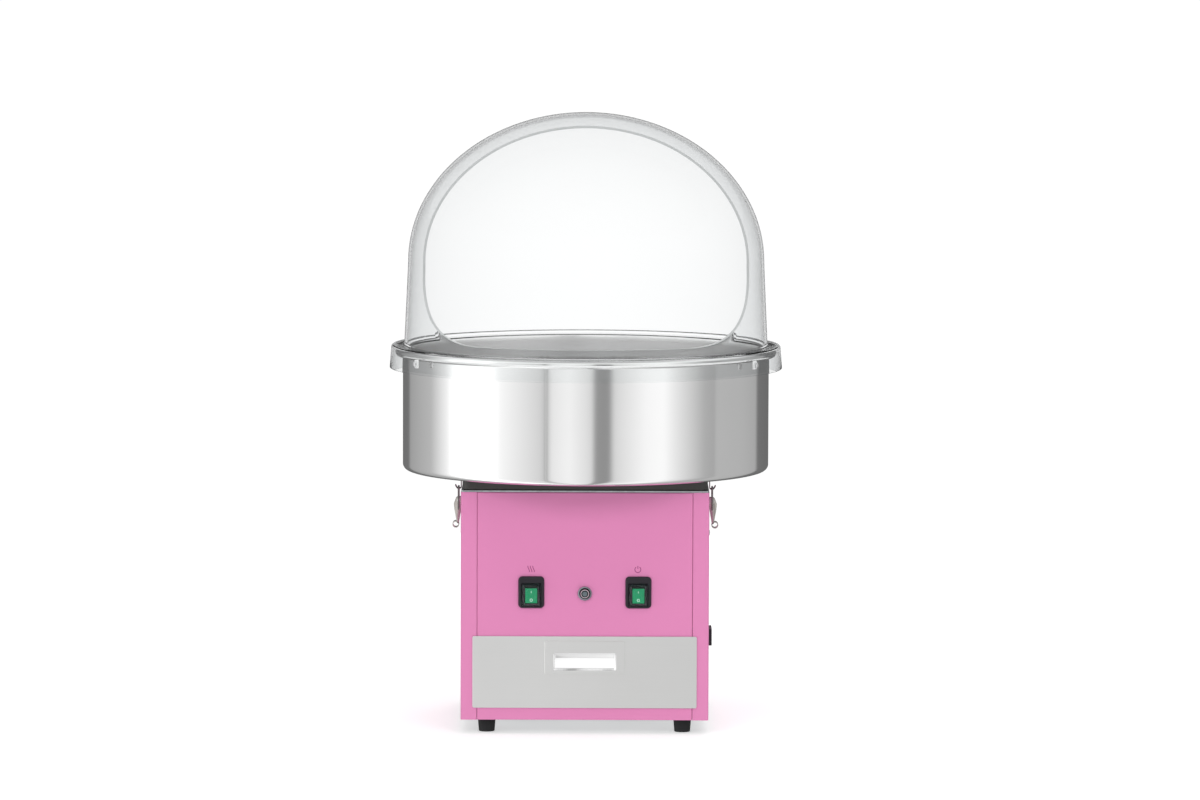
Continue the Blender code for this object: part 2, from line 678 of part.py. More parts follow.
# ---- Switches and breaker -----------------------------------------------------------------------
def make_switch(shop, name, x):
    """Rocker switch with a splash-proof boot; the lower half of the rocker is pressed in at rest."""
    half, tall, middle = SWITCH_FRAME
    face = -CABINET_HALF - GAP
    thickness = 0.0035
    step = face - 0.0017
    outline = rectangle((x - half, middle - tall), (x + half, middle + tall), 0.004)
    place = (0, face - thickness / 2, 0)
    frame = shop.plate(f"switch_frame_{name}", outline, thickness, place, FACING_FRONT, "black")
    z = ROCKER_MIDDLE
    body = shop.box(f"body_{name}", (x - 0.011, face - 0.001, z - 0.0135), (x + 0.011, -0.140, z + 0.0135))
    window = shop.box(
        f"window_{name}", (x - 0.0124, face - 0.01, z - 0.0146), (x + 0.0124, step, z + 0.0146)
    )
    pocket = shop.box(f"pocket_{name}", (x - 0.0093, step - 0.01, z - 0.0115), (x + 0.0093, -0.158, z + 0.0115))
    cut(join(frame, body), window, pocket)

    back = step - GAP
    boot = shop.box(
        f"switch_boot_{name}", (x - 0.0121, back - 0.0078, z - 0.0143), (x + 0.0121, back, z + 0.0143),
        "clear",
    )
    shape = bmesh.new()
    shape.from_mesh(boot.data)
    rim = [edge for edge in shape.edges if min(vert.co.y for vert in edge.verts) < 0.0]
    rim += [edge for edge in shape.edges if edge not in rim and abs(edge.verts[0].co.y - edge.verts[1].co.y) > 0]
    bmesh.ops.bevel(shape, geom=rim, offset=0.0018, segments=2, affect="EDGES", profile=0.5)
    shape.to_mesh(boot.data)
    shape.free()
    hollow = shop.box(
        f"hollow_{name}", (x - 0.0100, back - 0.0067, z - 0.0122), (x + 0.0100, back + 0.002, z + 0.0122)
    )
    cut(boot, hollow)

    tip = (0.0055 + 0.0101 * math.tan(ROCKER_TILT), 0.0101)
    upper = [(0.0055, 0.0), tip, (0.0025, 0.0096), (-0.0030, 0.0030)]
    level = upper + [(forward, -up) for forward, up in upper[:0:-1]]
    turn, lean = math.cos(ROCKER_TILT), math.sin(ROCKER_TILT)
    outline = [(-forward * turn - up * lean, up * turn - forward * lean) for forward, up in level]
    shop.empty(f"rocker_pivot_{name}", (x, ROCKER_PIVOT, z))
    rocker = shop.plate(f"rocker_{name}", outline, 0.016, (x, ROCKER_PIVOT, z), FACING_SIDE, "green")
    shop.ride(f"rocker_pivot_{name}", rocker)


def make_breaker(shop):
    """Push-to-reset breaker: a body behind the panel, its neck, a round nut and the button."""
    face = CABINET_HALF
    neck = [(0.0057, 0.0075), (0.0057, -0.004), (0.0037, -0.004), (0.0037, 0.0075)]
    place = (0, -face, BREAKER_HEIGHT)
    body = shop.box(
        "breaker_body", (-0.0075, -face + 0.0018, 0.172), (0.0075, -0.132, 0.2076), "black", 0.0006
    )
    bore = shop.cylinder("breaker_bore", 0.0037, 0.030, (0, -face + 0.007, BREAKER_HEIGHT), FACING_FRONT)
    cut(join(body, shop.turned("neck", neck, None, 20, place, FACING_FRONT)), bore)
    nut = [(0.0060, 0.0036), (0.0086, 0.0036), (0.0095, 0.0027), (0.0095, GAP), (0.0060, GAP)]
    shop.turned("breaker_nut", nut, "chrome", 20, place, FACING_FRONT)
    button = [(0.0, 0.0095), (0.0026, 0.0095), (0.0034, 0.0087), (0.0034, -0.018), (0.0, -0.018)]
    shop.empty("breaker_press", place)
    made = shop.turned("breaker_button", button, "grey", 20, place, FACING_FRONT)
    shop.ride("breaker_press", made)


# ---- Drive --------------------------------------------------------------------------------------
def make_housing(shop):
    """Tube with a flange under the top plate and a bearing seat at each end."""
    low = 0.2053
    top = 0.346
    outer, seat, bore = 0.026, 0.0175, 0.012
    flange = (0.050, CABINET_TOP - 0.006, CABINET_TOP)
    profile = [(outer, top), (outer, flange[2]), (flange[0], flange[2]), (flange[0], flange[1])]
    profile += [(outer, flange[1]), (outer, low), (seat, low), (seat, low + 0.013), (bore, low + 0.013)]
    profile += [(bore, top - 0.0143), (seat, top - 0.0143), (seat, top)]
    shop.turned("spindle_housing", profile, "aluminium", 20)
    width = 0.011
    for name, z in (("upper", top - 0.014), ("lower", low + 0.0017)):
        ring = [(0.0078, z + width), (0.0172, z + width), (0.0172, z), (0.0078, z)]
        shop.turned(f"bearing_{name}", ring, "chrome", 16)


def make_motor(shop):
    """Motor over its bracket, with its shaft and pulley below the bracket."""
    place = (0, MOTOR_Y, 0)
    plate = (0.2020, 0.2050)
    sheet = plate[1] - plate[0]
    wall = CABINET_HALF - SHEET - GAP
    path = [(-0.034, plate[0] + sheet / 2), (wall - sheet / 2, plate[0] + sheet / 2)]
    path += [(wall - sheet / 2, 0.300)]
    bracket = shop.plate(
        "motor_bracket", bent_strip(path, sheet, 0.004), 0.128, (0, 0, 0), FACING_SIDE, "steel"
    )
    holes = [
        shop.cylinder("bracket_spindle_hole", 0.012, 0.02, (0, 0, plate[0]), FLAT),
        shop.cylinder("bracket_shaft_hole", 0.009, 0.02, (0, MOTOR_Y, plate[0]), FLAT),
    ]
    cut(bracket, *holes)

    low = plate[1] + GAP
    high = 0.298
    bell = MOTOR_RADIUS - 0.004
    profile = [(0.0, high), (bell, high), (MOTOR_RADIUS, high - 0.010), (MOTOR_RADIUS, low + 0.012)]
    profile += [(bell, low + 0.002), (bell, low), (0.0054, low), (0.0054, low + 0.014), (0.0, low + 0.014)]
    shop.turned("motor_body", profile, "steel", 24, place)

    shop.empty("motor_axis", place)
    shaft = shop.cylinder("motor_shaft", 0.005, 0.0408, (0, MOTOR_Y, 0.1985), FLAT, "steel")
    pulley = make_pulley(shop, "motor_pulley", MOTOR_GROOVE, 0.0053, place)
    shop.ride("motor_axis", shaft, pulley)


def make_pulley(shop, name, groove, bore, place):
    rim = groove + 0.006
    half, floor_half = 0.009, 0.0048
    z = BELT_PLANE
    profile = [(rim, z + half), (rim, z + floor_half + 0.0012), (groove, z + floor_half)]
    profile += [(groove, z - floor_half), (rim, z - floor_half - 0.0012), (rim, z - half)]
    profile += [(bore, z - half), (bore, z + half)]
    return shop.turned(name, profile, "aluminium", 24, place)


def belt_outline(clearance, steps):
    """Loop of common tangents round both pulleys, at a clearance outside the grooves."""
    big = SPINDLE_GROOVE + clearance
    small = MOTOR_GROOVE + clearance
    lean = math.degrees(math.asin((big - small) / MOTOR_Y))
    loop = arc((0, 0), big, 180 - lean, 360 + lean, steps)
    loop += arc((0, MOTOR_Y), small, lean, 180 - lean, steps)
    return loop


def make_belt(shop):
    place = (0, 0, BELT_PLANE)
    inner = belt_outline(2 * GAP, 12)
    outer = belt_outline(GAP + BELT_THICKNESS, 12)
    shop.plate("drive_belt", outer, 0.008, place, FLAT, "rubber", [inner])


def make_brushes(shop):
    """Insulating holder that hangs from the bracket, with one brush on each slip ring."""
    outline = [(0.024, 0.138), (0.062, 0.138), (0.062, 0.2017), (0.050, 0.2017), (0.050, 0.175)]
    outline += [(0.024, 0.175)]
    holder = shop.plate("brush_holder", outline, 0.024, (0, 0, 0), FACING_FRONT, "bakelite")
    for name, z in (("lower", 0.1475), ("upper", 0.1655)):
        slot = shop.box(f"slot_{name}", (0.020, -0.0043, z - 0.0043), (0.050, 0.0043, z + 0.0043))
        cut(holder, slot)
        shop.box(f"brush_{name}", (0.0204, -0.004, z - 0.004), (0.046, 0.004, z + 0.004), "carbon")


def make_spinner(shop):
    """Everything that turns on the machine's axis: spindle, pulley, slip rings and head."""
    shop.empty("spinner_axis", (0, 0, HEAD_BOTTOM))
    shoulder = HEAD_BOTTOM - 0.006
    neck = 0.006
    bottom = 0.134
    profile = [(0.0, HEAD_BOTTOM + 0.022), (neck, HEAD_BOTTOM + 0.022), (neck, shoulder)]
    profile += [(SPINDLE_RADIUS, shoulder), (SPINDLE_RADIUS, bottom), (0.0, bottom)]
    made = [shop.turned("spindle", profile, "steel", 16)]
    made.append(make_pulley(shop, "spindle_pulley", SPINDLE_GROOVE, 0.0078, (0, 0, 0)))

    sleeve = [(0.014, 0.179), (0.014, 0.137), (0.0078, 0.137), (0.0078, 0.179)]
    made.append(shop.turned("slip_ring_insulator", sleeve, "bakelite", 16))
    for name, z in (("lower", 0.1475), ("upper", 0.1655)):
        ring = [(0.020, z + 0.0055), (0.020, z - 0.0055), (0.0143, z - 0.0055), (0.0143, z + 0.0055)]
        made.append(shop.turned(f"slip_ring_{name}", ring, "copper", 20))
    made += make_head(shop)
    shop.ride("spinner_axis", *made)


def make_head(shop):
    """Pan with posts, ring heater and band between pan and cap, and the nut under the sugar hole."""
    low = HEAD_BOTTOM
    floor = low + 0.003
    rim = HEAD_RADIUS
    hub = 0.018
    pan = [(rim, low + 0.008), (rim, low), (hub, low), (hub - 0.002, low - 0.005), (0.0063, low - 0.005)]
    pan += [(0.0063, low + 0.010), (hub - 0.004, low + 0.010), (hub, floor), (rim - 0.002, floor)]
    pan += [(rim - 0.002, low + 0.008)]
    dish = shop.turned("head_pan", pan, "aluminium", 32)
    cap_low = low + 0.033
    for k in range(3):
        angle = math.radians(90 + 120 * k)
        place = (0.050 * math.cos(angle), 0.050 * math.sin(angle), (floor + cap_low - GAP) / 2)
        post = shop.cylinder(f"post_{k}", 0.003, cap_low - GAP - low - 0.001, place, FLAT, None, 10)
        post.location.z = (low + 0.001 + cap_low - GAP) / 2
        join(dish, post)

    band = [(0.0735, cap_low - GAP), (0.0735, floor + GAP), (0.0725, floor + GAP), (0.0725, cap_low - GAP)]
    ring = shop.turned("head_band", band, "stainless", 32)
    coil = [(0.068, low + 0.029), (0.068, low + 0.008), (0.061, low + 0.008), (0.061, low + 0.029)]
    heater = shop.turned("head_heater", coil, "steel", 24)
    cap = [(0.030, cap_low + 0.008), (0.034, cap_low + 0.002), (rim, cap_low + 0.002)]
    cap += [(rim, cap_low - 0.006), (rim - 0.0015, cap_low - 0.006), (rim - 0.0015, cap_low)]
    cap += [(0.030, cap_low), (0.0265, cap_low + 0.008)]
    lid = shop.turned("head_cap", cap, "aluminium", 32)
    nut_low = low + 0.010 + GAP
    nut = shop.plate(
        "head_nut", circle((0, 0), 0.010, 6), 0.007, (0, 0, nut_low + 0.0035), FLAT, "steel",
        [circle((0, 0), 0.0063, 16)],
    )
    return [dish, ring, heater, lid, nut]


def main():
    for made in list(bpy.data.objects):
        bpy.data.objects.remove(made)
    shop = Workshop()
    shop.empty("dome_lift", (0, 0, DOME_FLANGE))
    make_base_and_top(shop)
    make_side_panels(shop)
    make_front_panel(shop)
    make_rear_panel(shop)
    make_seat(shop)
    make_feet(shop)
    make_inlet(shop)
    make_bowl(shop)
    make_dome(shop)
    make_latches(shop)
    make_runners(shop)
    make_drawer(shop)
    for name, x in SWITCH_PLACES.items():
        make_switch(shop, name, x)
    make_breaker(shop)
    make_housing(shop)
    make_motor(shop)
    make_belt(shop)
    make_brushes(shop)
    make_spinner(shop)


main()
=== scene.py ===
import math

import bmesh
import bpy
import numpy as np
from bpy.props import FloatProperty, FloatVectorProperty, IntProperty, PointerProperty
from mathutils import Matrix, Vector


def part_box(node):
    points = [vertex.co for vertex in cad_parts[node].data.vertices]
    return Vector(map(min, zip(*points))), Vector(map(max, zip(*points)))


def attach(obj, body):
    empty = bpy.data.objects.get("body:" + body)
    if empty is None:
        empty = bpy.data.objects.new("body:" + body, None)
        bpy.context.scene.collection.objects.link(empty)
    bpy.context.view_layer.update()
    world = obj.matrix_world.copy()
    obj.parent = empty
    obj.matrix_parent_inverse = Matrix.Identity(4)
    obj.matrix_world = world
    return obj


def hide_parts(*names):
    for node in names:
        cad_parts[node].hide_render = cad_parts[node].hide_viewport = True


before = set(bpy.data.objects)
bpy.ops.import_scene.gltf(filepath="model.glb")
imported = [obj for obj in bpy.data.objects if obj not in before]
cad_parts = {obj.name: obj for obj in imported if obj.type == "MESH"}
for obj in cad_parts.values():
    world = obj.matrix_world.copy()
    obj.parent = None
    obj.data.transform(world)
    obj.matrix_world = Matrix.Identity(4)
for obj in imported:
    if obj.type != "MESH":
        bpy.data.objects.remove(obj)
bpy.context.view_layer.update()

bl_info = {
    "name": "Cotton Candy Machine",
    "version": (1, 0, 0),
    "blender": (4, 5, 0),
    "location": "View3D > Sidebar > Machine",
    "description": "Builds a counter-top cotton candy machine round its packed frame",
    "category": "Object",
}

# Lengths in the pieces' own sections are in millimetres; place() turns them into metres.
MM = 0.001


def paint(red, green, blue):
    """A screen colour, 0 to 255, as the linear values that the shaders use."""
    share = np.array([red, green, blue]) / 255.0
    linear = np.where(share <= 0.04045, share / 12.92, ((share + 0.055) / 1.055) ** 2.4)
    return tuple(float(value) for value in linear)


# ---- Shapes -------------------------------------------------------------------------------------
# Each facing gives the directions of a section's u, v and w; w points out of the named side.
FACINGS = {
    "up": ((1, 0, 0), (0, 1, 0), (0, 0, 1)),
    "down": ((1, 0, 0), (0, -1, 0), (0, 0, -1)),
    "front": ((1, 0, 0), (0, 0, 1), (0, -1, 0)),
    "rear": ((-1, 0, 0), (0, 0, 1), (0, 1, 0)),
    "right": ((0, 1, 0), (0, 0, 1), (1, 0, 0)),
    "left": ((0, 1, 0), (0, 0, 1), (-1, 0, 0)),
    "across": ((0, -1, 0), (0, 0, 1), (1, 0, 0)),
    "right_profile": ((1, 0, 0), (0, 0, 1), (0, 1, 0)),
    "left_profile": ((-1, 0, 0), (0, 0, 1), (0, 1, 0)),
}


def place(points, facing):
    """Section points in millimetres to metres in the frame: u, v and w times the facing's axes."""
    return np.asarray(points, float) @ np.array(FACINGS[facing], float) * MM


def grid_faces(rows, columns, wrap_rows, wrap_columns):
    """Four-sided faces of a grid: each joins a point to its next ones along row and column."""
    row = np.arange(rows if wrap_rows else rows - 1)[:, None]
    column = np.arange(columns if wrap_columns else columns - 1)[None, :]
    next_row = (row + 1) % rows
    next_column = (column + 1) % columns
    corners = [row * columns + column, row * columns + next_column]
    corners += [next_row * columns + next_column, next_row * columns + column]
    return np.stack(corners, axis=-1).reshape(-1, 4)


def close_up(mesh, crease=32.0):
    """Merges doubled points at seams and poles, turns faces outwards and keeps creases sharp."""
    shape = bmesh.new()
    shape.from_mesh(mesh)
    bmesh.ops.remove_doubles(shape, verts=shape.verts, dist=2e-6)
    bmesh.ops.recalc_face_normals(shape, faces=shape.faces)
    shape.to_mesh(mesh)
    shape.free()
    mesh.shade_smooth()
    mesh.set_sharp_from_angle(angle=math.radians(crease))


def make_piece(name, points, faces, finish, crease=32.0):
    """A mesh object at the origin with these points (metres), faces and finish."""
    mesh = bpy.data.meshes.new(name)
    mesh.from_pydata(np.asarray(points).reshape(-1, 3).tolist(), [], faces)
    close_up(mesh, crease)
    piece = bpy.data.objects.new(name, mesh)
    bpy.context.scene.collection.objects.link(piece)
    if finish:
        mesh.materials.append(FINISHES[finish](finish))
    return piece


def skin(name, rings, finish, facing="front", loop=False, spots=((0, 0, 0),), crease=32.0):
    """Closed surface through a row of rings, point j of ring i at (i, j), repeated at each spot.

    The rows join in a loop, or the first and last ring are filled in.
    """
    rings = np.asarray(rings, float)
    rows, columns = rings.shape[:2]
    faces = grid_faces(rows, columns, loop, True).tolist()
    if not loop:
        faces += [list(range(columns)), list(range((rows - 1) * columns, rows * columns))]
    spots = np.asarray(spots, float)
    points = place(rings[None] + spots[:, None, None, :], facing)
    stride = rows * columns
    every = [[corner + k * stride for corner in face] for k in range(len(spots)) for face in faces]
    return make_piece(name, points, every, finish, crease)


def around(radius, angle, height, middle=(0.0, 0.0)):
    """Points round an upright axis: (r cos a, r sin a, h), moved to the middle."""
    u = middle[0] + radius * np.cos(angle)
    v = middle[1] + radius * np.sin(angle)
    return np.stack(np.broadcast_arrays(u, v, height), axis=-1)


def full_turn(count):
    """Evenly spaced angles round a circle, its first not repeated."""
    return np.linspace(0.0, 2 * math.pi, count, endpoint=False)


def oblong(half, corner, w, inset=0.0, middle=(0.0, 0.0), steps=5):
    """One ring at height w: a rectangle whose corners are arcs, all of it drawn in by inset.

    Each quarter turn is its corner's centre plus the radius times (cos, sin) of the angle.
    """
    radius = max(corner - inset, 0.05)
    turn = np.linspace(0.0, math.pi / 2, steps + 1)
    quarter = np.arange(4)[:, None]
    angle = turn[None, :] + quarter * math.pi / 2
    side_u = np.array([1, -1, -1, 1])[:, None]
    side_v = np.array([1, 1, -1, -1])[:, None]
    u = middle[0] + side_u * (half[0] - inset - radius) + radius * np.cos(angle)
    v = middle[1] + side_v * (half[1] - inset - radius) + radius * np.sin(angle)
    return np.stack([u, v, np.full_like(u, w)], axis=-1).reshape(-1, 3)


def lip(radius, steps=3, hold=0.25):
    """A rounded edge as pairs (inset, drop): a quarter arc with a short level run at each end."""
    turn = np.linspace(0.0, math.pi / 2, steps + 1)
    inset = radius * (1 - np.cos(turn))
    drop = radius * (1 - np.sin(turn))
    return [(0.0, radius + hold), *zip(inset, drop), (radius + hold, 0.0)]


def lipped(half, corner, front, edge, middle=(0.0, 0.0), steps=5):
    """Rings over a rounded edge, or over the pairs given for it, up to a face at this height."""
    pairs = edge if isinstance(edge, list) else lip(edge)
    return [oblong(half, corner, front - drop, inset, middle, steps) for inset, drop in pairs]


def bow(middle, radius, start, stop, steps=6):
    """Arc points: centre plus radius times (cos, sin) of an angle that runs from start to stop."""
    angle = np.radians(np.linspace(start, stop, steps + 1))
    wide, high = np.broadcast_to(radius, 2)
    return np.stack([middle[0] + wide * np.cos(angle), middle[1] + high * np.sin(angle)], axis=-1)


def outline_of(*parts):
    """Runs of (u, v) points joined into one array."""
    return np.concatenate([np.asarray(part, float).reshape(-1, 2) for part in parts])


def slab(name, half, corner, back, front, edge, finish, facing="front", middle=(0, 0)):
    """Plate with round corners and rounded front edges: its outline carried from back to front."""
    rings = [oblong(half, corner, back, 0.0, middle)]
    return skin(name, rings + lipped(half, corner, front, edge, middle), finish, facing)


def framed(name, outer, opening, back, front, edge, finish):
    """Plate with one opening: a section with rounded edges carried round between two outlines.

    An outline is (half sizes, corner radius, middle).
    """
    half, corner, middle = outer
    hole, hole_corner, hole_middle = opening
    rings = [oblong(half, corner, back, 0.0, middle)] + lipped(half, corner, front, edge, middle)
    outwards = [(-inset, drop) for inset, drop in lip(edge)[::-1]]
    rings += lipped(hole, hole_corner, front, outwards, hole_middle)
    rings.append(oblong(hole, hole_corner, back, 0.0, hole_middle))
    return skin(name, rings, finish, loop=True)


def pan(name, half, corner, middle, front, depth, sheet, edge, finish, facing="front"):
    """Folded sheet panel: a flat face whose rounded edge turns back into a flange all round.

    The outside's rings run from the flange to the face, and the inside's run one sheet within them.
    """
    outside = [oblong(half, corner, front - depth, 0.0, middle)]
    outside += lipped(half, corner, front, edge, middle)
    inner = [(inset + sheet, drop) for inset, drop in lip(max(edge - sheet, 0.2))]
    inside = [oblong(half, corner, front - depth, sheet, middle)]
    inside += lipped(half, corner, front - sheet, inner, middle)
    return skin(name, inside[::-1] + outside, finish, facing)


def turned(name, profile, finish, facing="up", middle=(0.0, 0.0), segments=64, loop=True,
           spots=((0, 0, 0),)):
    """A profile of (radius, height) turned about its axis."""
    profile = np.asarray(profile, float)
    rings = around(profile[:, :1], full_turn(segments)[None, :], profile[:, 1:], middle)
    return skin(name, rings, finish, facing, loop, spots)


def drawn(name, outline, low, high, finish, facing):
    """An outline of (u, v) drawn straight from low to high along w, with both ends filled."""
    outline = np.asarray(outline, float)
    ends = [np.c_[outline, np.full(len(outline), w)] for w in (low, high)]
    return skin(name, ends, finish, facing)


def rounded_path(corners, radius, steps=6):
    """Line through the corners with each inner corner replaced by a tangent arc of the radius."""
    corners = np.asarray(corners, float)
    run = [corners[:1]]
    for before, corner, after in zip(corners[:-2], corners[1:-1], corners[2:]):
        into = (before - corner) / np.linalg.norm(before - corner)
        away = (after - corner) / np.linalg.norm(after - corner)
        half_angle = math.acos(float(np.clip(into @ away, -1, 1))) / 2
        bisector = (into + away) / np.linalg.norm(into + away)
        middle = corner + bisector * radius / math.sin(half_angle)
        start = corner + into * radius / math.tan(half_angle) - middle
        stop = corner + away * radius / math.tan(half_angle) - middle
        sweep = math.pi - 2 * half_angle
        share = np.linspace(0.0, 1.0, steps + 1)[:, None]
        arc = np.sin((1 - share) * sweep) * start + np.sin(share * sweep) * stop
        run.append(middle + arc / math.sin(sweep))
    run.append(corners[-1:])
    return np.concatenate(run)


def strip_outline(path, thickness):
    """Outline of a bent sheet seen on edge: its middle line moved half a sheet to either side."""
    path = np.asarray(path, float)
    along = np.gradient(path, axis=0)
    along /= np.linalg.norm(along, axis=1)[:, None]
    normal = np.c_[-along[:, 1], along[:, 0]] * thickness / 2
    return np.concatenate([path + normal, (path - normal)[::-1]])


def carried(name, section, path, across, finish, facing="up", closed=False,
            spots=((0, 0, 0),)):
    """A section carried along a path.

    Its first measure runs along `across`, its second at right angles to that and to the path.
    """
    path = np.asarray(path, float)
    if closed:
        along = np.roll(path, -1, axis=0) - np.roll(path, 1, axis=0)
    else:
        along = np.gradient(path, axis=0)
    along /= np.linalg.norm(along, axis=1)[:, None]
    across = np.broadcast_to(np.asarray(across, float), path.shape)
    side = np.cross(along, across)
    side /= np.linalg.norm(side, axis=1)[:, None]
    section = np.asarray(section, float)
    first, second = section[None, :, :1], section[None, :, 1:]
    rings = path[:, None] + first * across[:, None] + second * side[:, None]
    return skin(name, rings, finish, facing, closed, spots)


def round_section(radius, sides=12):
    """A wire's section: radius times (cos, sin)."""
    angle = full_turn(sides)
    return radius * np.stack([np.cos(angle), np.sin(angle)], axis=-1)


def carve(piece, *cutters, crease=32.0):
    """Cuts the cutters' volumes out of a piece for good, and removes the cutters."""
    for cutter in cutters:
        opening = piece.modifiers.new("opening", "BOOLEAN")
        opening.object = cutter
        opening.operation = "DIFFERENCE"
        opening.solver = "EXACT"
        if cutter.data.materials:
            opening.material_mode = "TRANSFER"
    return settle(piece, crease, cutters)


def soften(piece, width, segments=2, crease=32.0):
    """Rounds a piece's sharp edges by a width in millimetres, for good."""
    bevel = piece.modifiers.new("soft_edge", "BEVEL")
    bevel.width = width * MM
    bevel.segments = segments
    bevel.limit_method = "ANGLE"
    bevel.angle_limit = math.radians(crease)
    return settle(piece, crease)


def box_middle(name, first, second):
    """Middle of a frame node's box along two of its axes, in millimetres."""
    low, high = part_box(name)
    return tuple((getattr(low, axis) + getattr(high, axis)) / 2 / MM for axis in (first, second))


def settle(piece, crease=32.0, spent=()):
    """Keeps what a piece's modifiers make as its mesh, and removes the objects they used."""
    bpy.context.view_layer.update()
    seen = piece.evaluated_get(bpy.context.evaluated_depsgraph_get())
    mesh = bpy.data.meshes.new_from_object(seen)
    piece.modifiers.clear()
    piece.data = mesh
    for other in spent:
        bpy.data.objects.remove(other)
    close_up(mesh, crease)
    return piece


def fit(piece, body, slot, *nodes):
    """Ties a finished piece to its body and hides the frame nodes that it stands for; slot is not
    used.
    """
    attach(piece, body)
    if nodes:
        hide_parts(*nodes)
    return piece


# ---- Finishes -----------------------------------------------------------------------------------
FINE_SHARE = 0.65  # how much of a surface's shading is its fine mark; the rest is smudges
BUMP_STRENGTH = 0.6


def new_group(name, values):
    """An empty node group from a Vector and named values to a Mark, or the one already built."""
    if name in bpy.data.node_groups:
        return bpy.data.node_groups[name], None, None
    group = bpy.data.node_groups.new(name, "ShaderNodeTree")
    group.interface.new_socket("Vector", in_out="INPUT", socket_type="NodeSocketVector")
    for label, default in values.items():
        socket = group.interface.new_socket(label, in_out="INPUT", socket_type="NodeSocketFloat")
        socket.default_value = default
    group.interface.new_socket("Mark", in_out="OUTPUT", socket_type="NodeSocketFloat")
    return group, group.nodes.new("NodeGroupInput"), group.nodes.new("NodeGroupOutput")


def math_node(tree, operation, first, second=None, third=None, clamp=False):
    """A Math node whose inputs are sockets or numbers; gives back its output."""
    node = tree.nodes.new("ShaderNodeMath")
    node.operation = operation
    node.use_clamp = clamp
    for socket, value in zip(node.inputs, (first, second, third)):
        if value is None:
            continue
        if isinstance(value, bpy.types.NodeSocket):
            tree.links.new(value, socket)
        else:
            socket.default_value = value
    return node.outputs[0]


def noise_node(tree, vector, scale, detail=2.0, roughness=0.5):
    """A Noise Texture on a vector; gives back its value."""
    node = tree.nodes.new("ShaderNodeTexNoise")
    node.inputs["Detail"].default_value = detail
    node.inputs["Roughness"].default_value = roughness
    tree.links.new(vector, node.inputs["Vector"])
    if isinstance(scale, bpy.types.NodeSocket):
        tree.links.new(scale, node.inputs["Scale"])
    else:
        node.inputs["Scale"].default_value = scale
    return node.outputs[0]


def split_vector(group, given):
    """The three parts of a group's Vector."""
    split = group.nodes.new("ShaderNodeSeparateXYZ")
    group.links.new(given.outputs["Vector"], split.inputs[0])
    return split.outputs


def distance_out(group, x, y):
    """Distance from the upright axis: the root of x squared plus y squared."""
    squares = [math_node(group, "MULTIPLY", part, part) for part in (x, y)]
    return math_node(group, "SQRT", math_node(group, "ADD", *squares))


def rubbed_band(group, given, distance, limit):
    """Rises from 0 to 1 over the group's Band as a distance nears its limit."""
    depth = math_node(group, "SUBTRACT", distance, given.outputs[limit])
    share = math_node(group, "DIVIDE", depth, given.outputs["Band"])
    return math_node(group, "ADD", share, 1.0, clamp=True)


def turned_marks():
    """Fine rings left by spinning: noise along the distance from the axis plus the height."""
    group, given, result = new_group("turned_marks", {"Fineness": 900.0})
    if given:
        x, y, z = split_vector(group, given)
        out = distance_out(group, x, y)
        join = group.nodes.new("ShaderNodeCombineXYZ")
        group.links.new(out, join.inputs[0])
        group.links.new(z, join.inputs[1])
        noise = noise_node(group, join.outputs[0], given.outputs["Fineness"], 3.0, 0.65)
        group.links.new(noise, result.inputs["Mark"])
    return group


def brush_marks():
    """Straight brushed lines: noise on a vector that the material has stretched along the grain."""
    group, given, result = new_group("brush_marks", {"Fineness": 1.0})
    if given:
        value = noise_node(group, given.outputs["Vector"], given.outputs["Fineness"], 4.0, 0.7)
        group.links.new(value, result.inputs["Mark"])
    return group


def powder_peel():
    """The fine orange peel of baked paint: two sizes of soft noise added up."""
    group, given, result = new_group("powder_peel", {"Fineness": 500.0})
    if given:
        fine = noise_node(group, given.outputs["Vector"], given.outputs["Fineness"], 2.0, 0.4)
        wide = noise_node(group, given.outputs["Vector"], 120.0, 1.0, 0.4)
        share = math_node(group, "MULTIPLY", fine, 0.6)
        total = math_node(group, "MULTIPLY_ADD", wide, 0.4, share)
        group.links.new(total, result.inputs["Mark"])
    return group


def moulded_grain():
    """The pebbled skin of moulded plastic or rubber: distance between cells."""
    group, given, result = new_group("moulded_grain", {"Fineness": 1600.0})
    if given:
        cells = group.nodes.new("ShaderNodeTexVoronoi")
        cells.feature = "SMOOTH_F1"
        group.links.new(given.outputs["Vector"], cells.inputs["Vector"])
        group.links.new(given.outputs["Fineness"], cells.inputs["Scale"])
        group.links.new(cells.outputs["Distance"], result.inputs["Mark"])
    return group


def zinc_spangle():
    """The flakes of a zinc coat: each cell has a shade of its own."""
    group, given, result = new_group("zinc_spangle", {"Fineness": 140.0})
    if given:
        cells = group.nodes.new("ShaderNodeTexVoronoi")
        group.links.new(given.outputs["Vector"], cells.inputs["Vector"])
        group.links.new(given.outputs["Fineness"], cells.inputs["Scale"])
        split = group.nodes.new("ShaderNodeSeparateColor")
        group.links.new(cells.outputs["Color"], split.inputs[0])
        group.links.new(split.outputs[0], result.inputs["Mark"])
    return group


def handling():
    """Broad smudges from hands and cloths: soft noise with its middle greys spread out."""
    group, given, result = new_group("handling", {"Size": 9.0})
    if given:
        value = noise_node(group, given.outputs["Vector"], given.outputs["Size"], 3.0, 0.55)
        spread = math_node(group, "MULTIPLY_ADD", value, 2.2, -0.6, clamp=True)
        group.links.new(spread, result.inputs["Mark"])
    return group


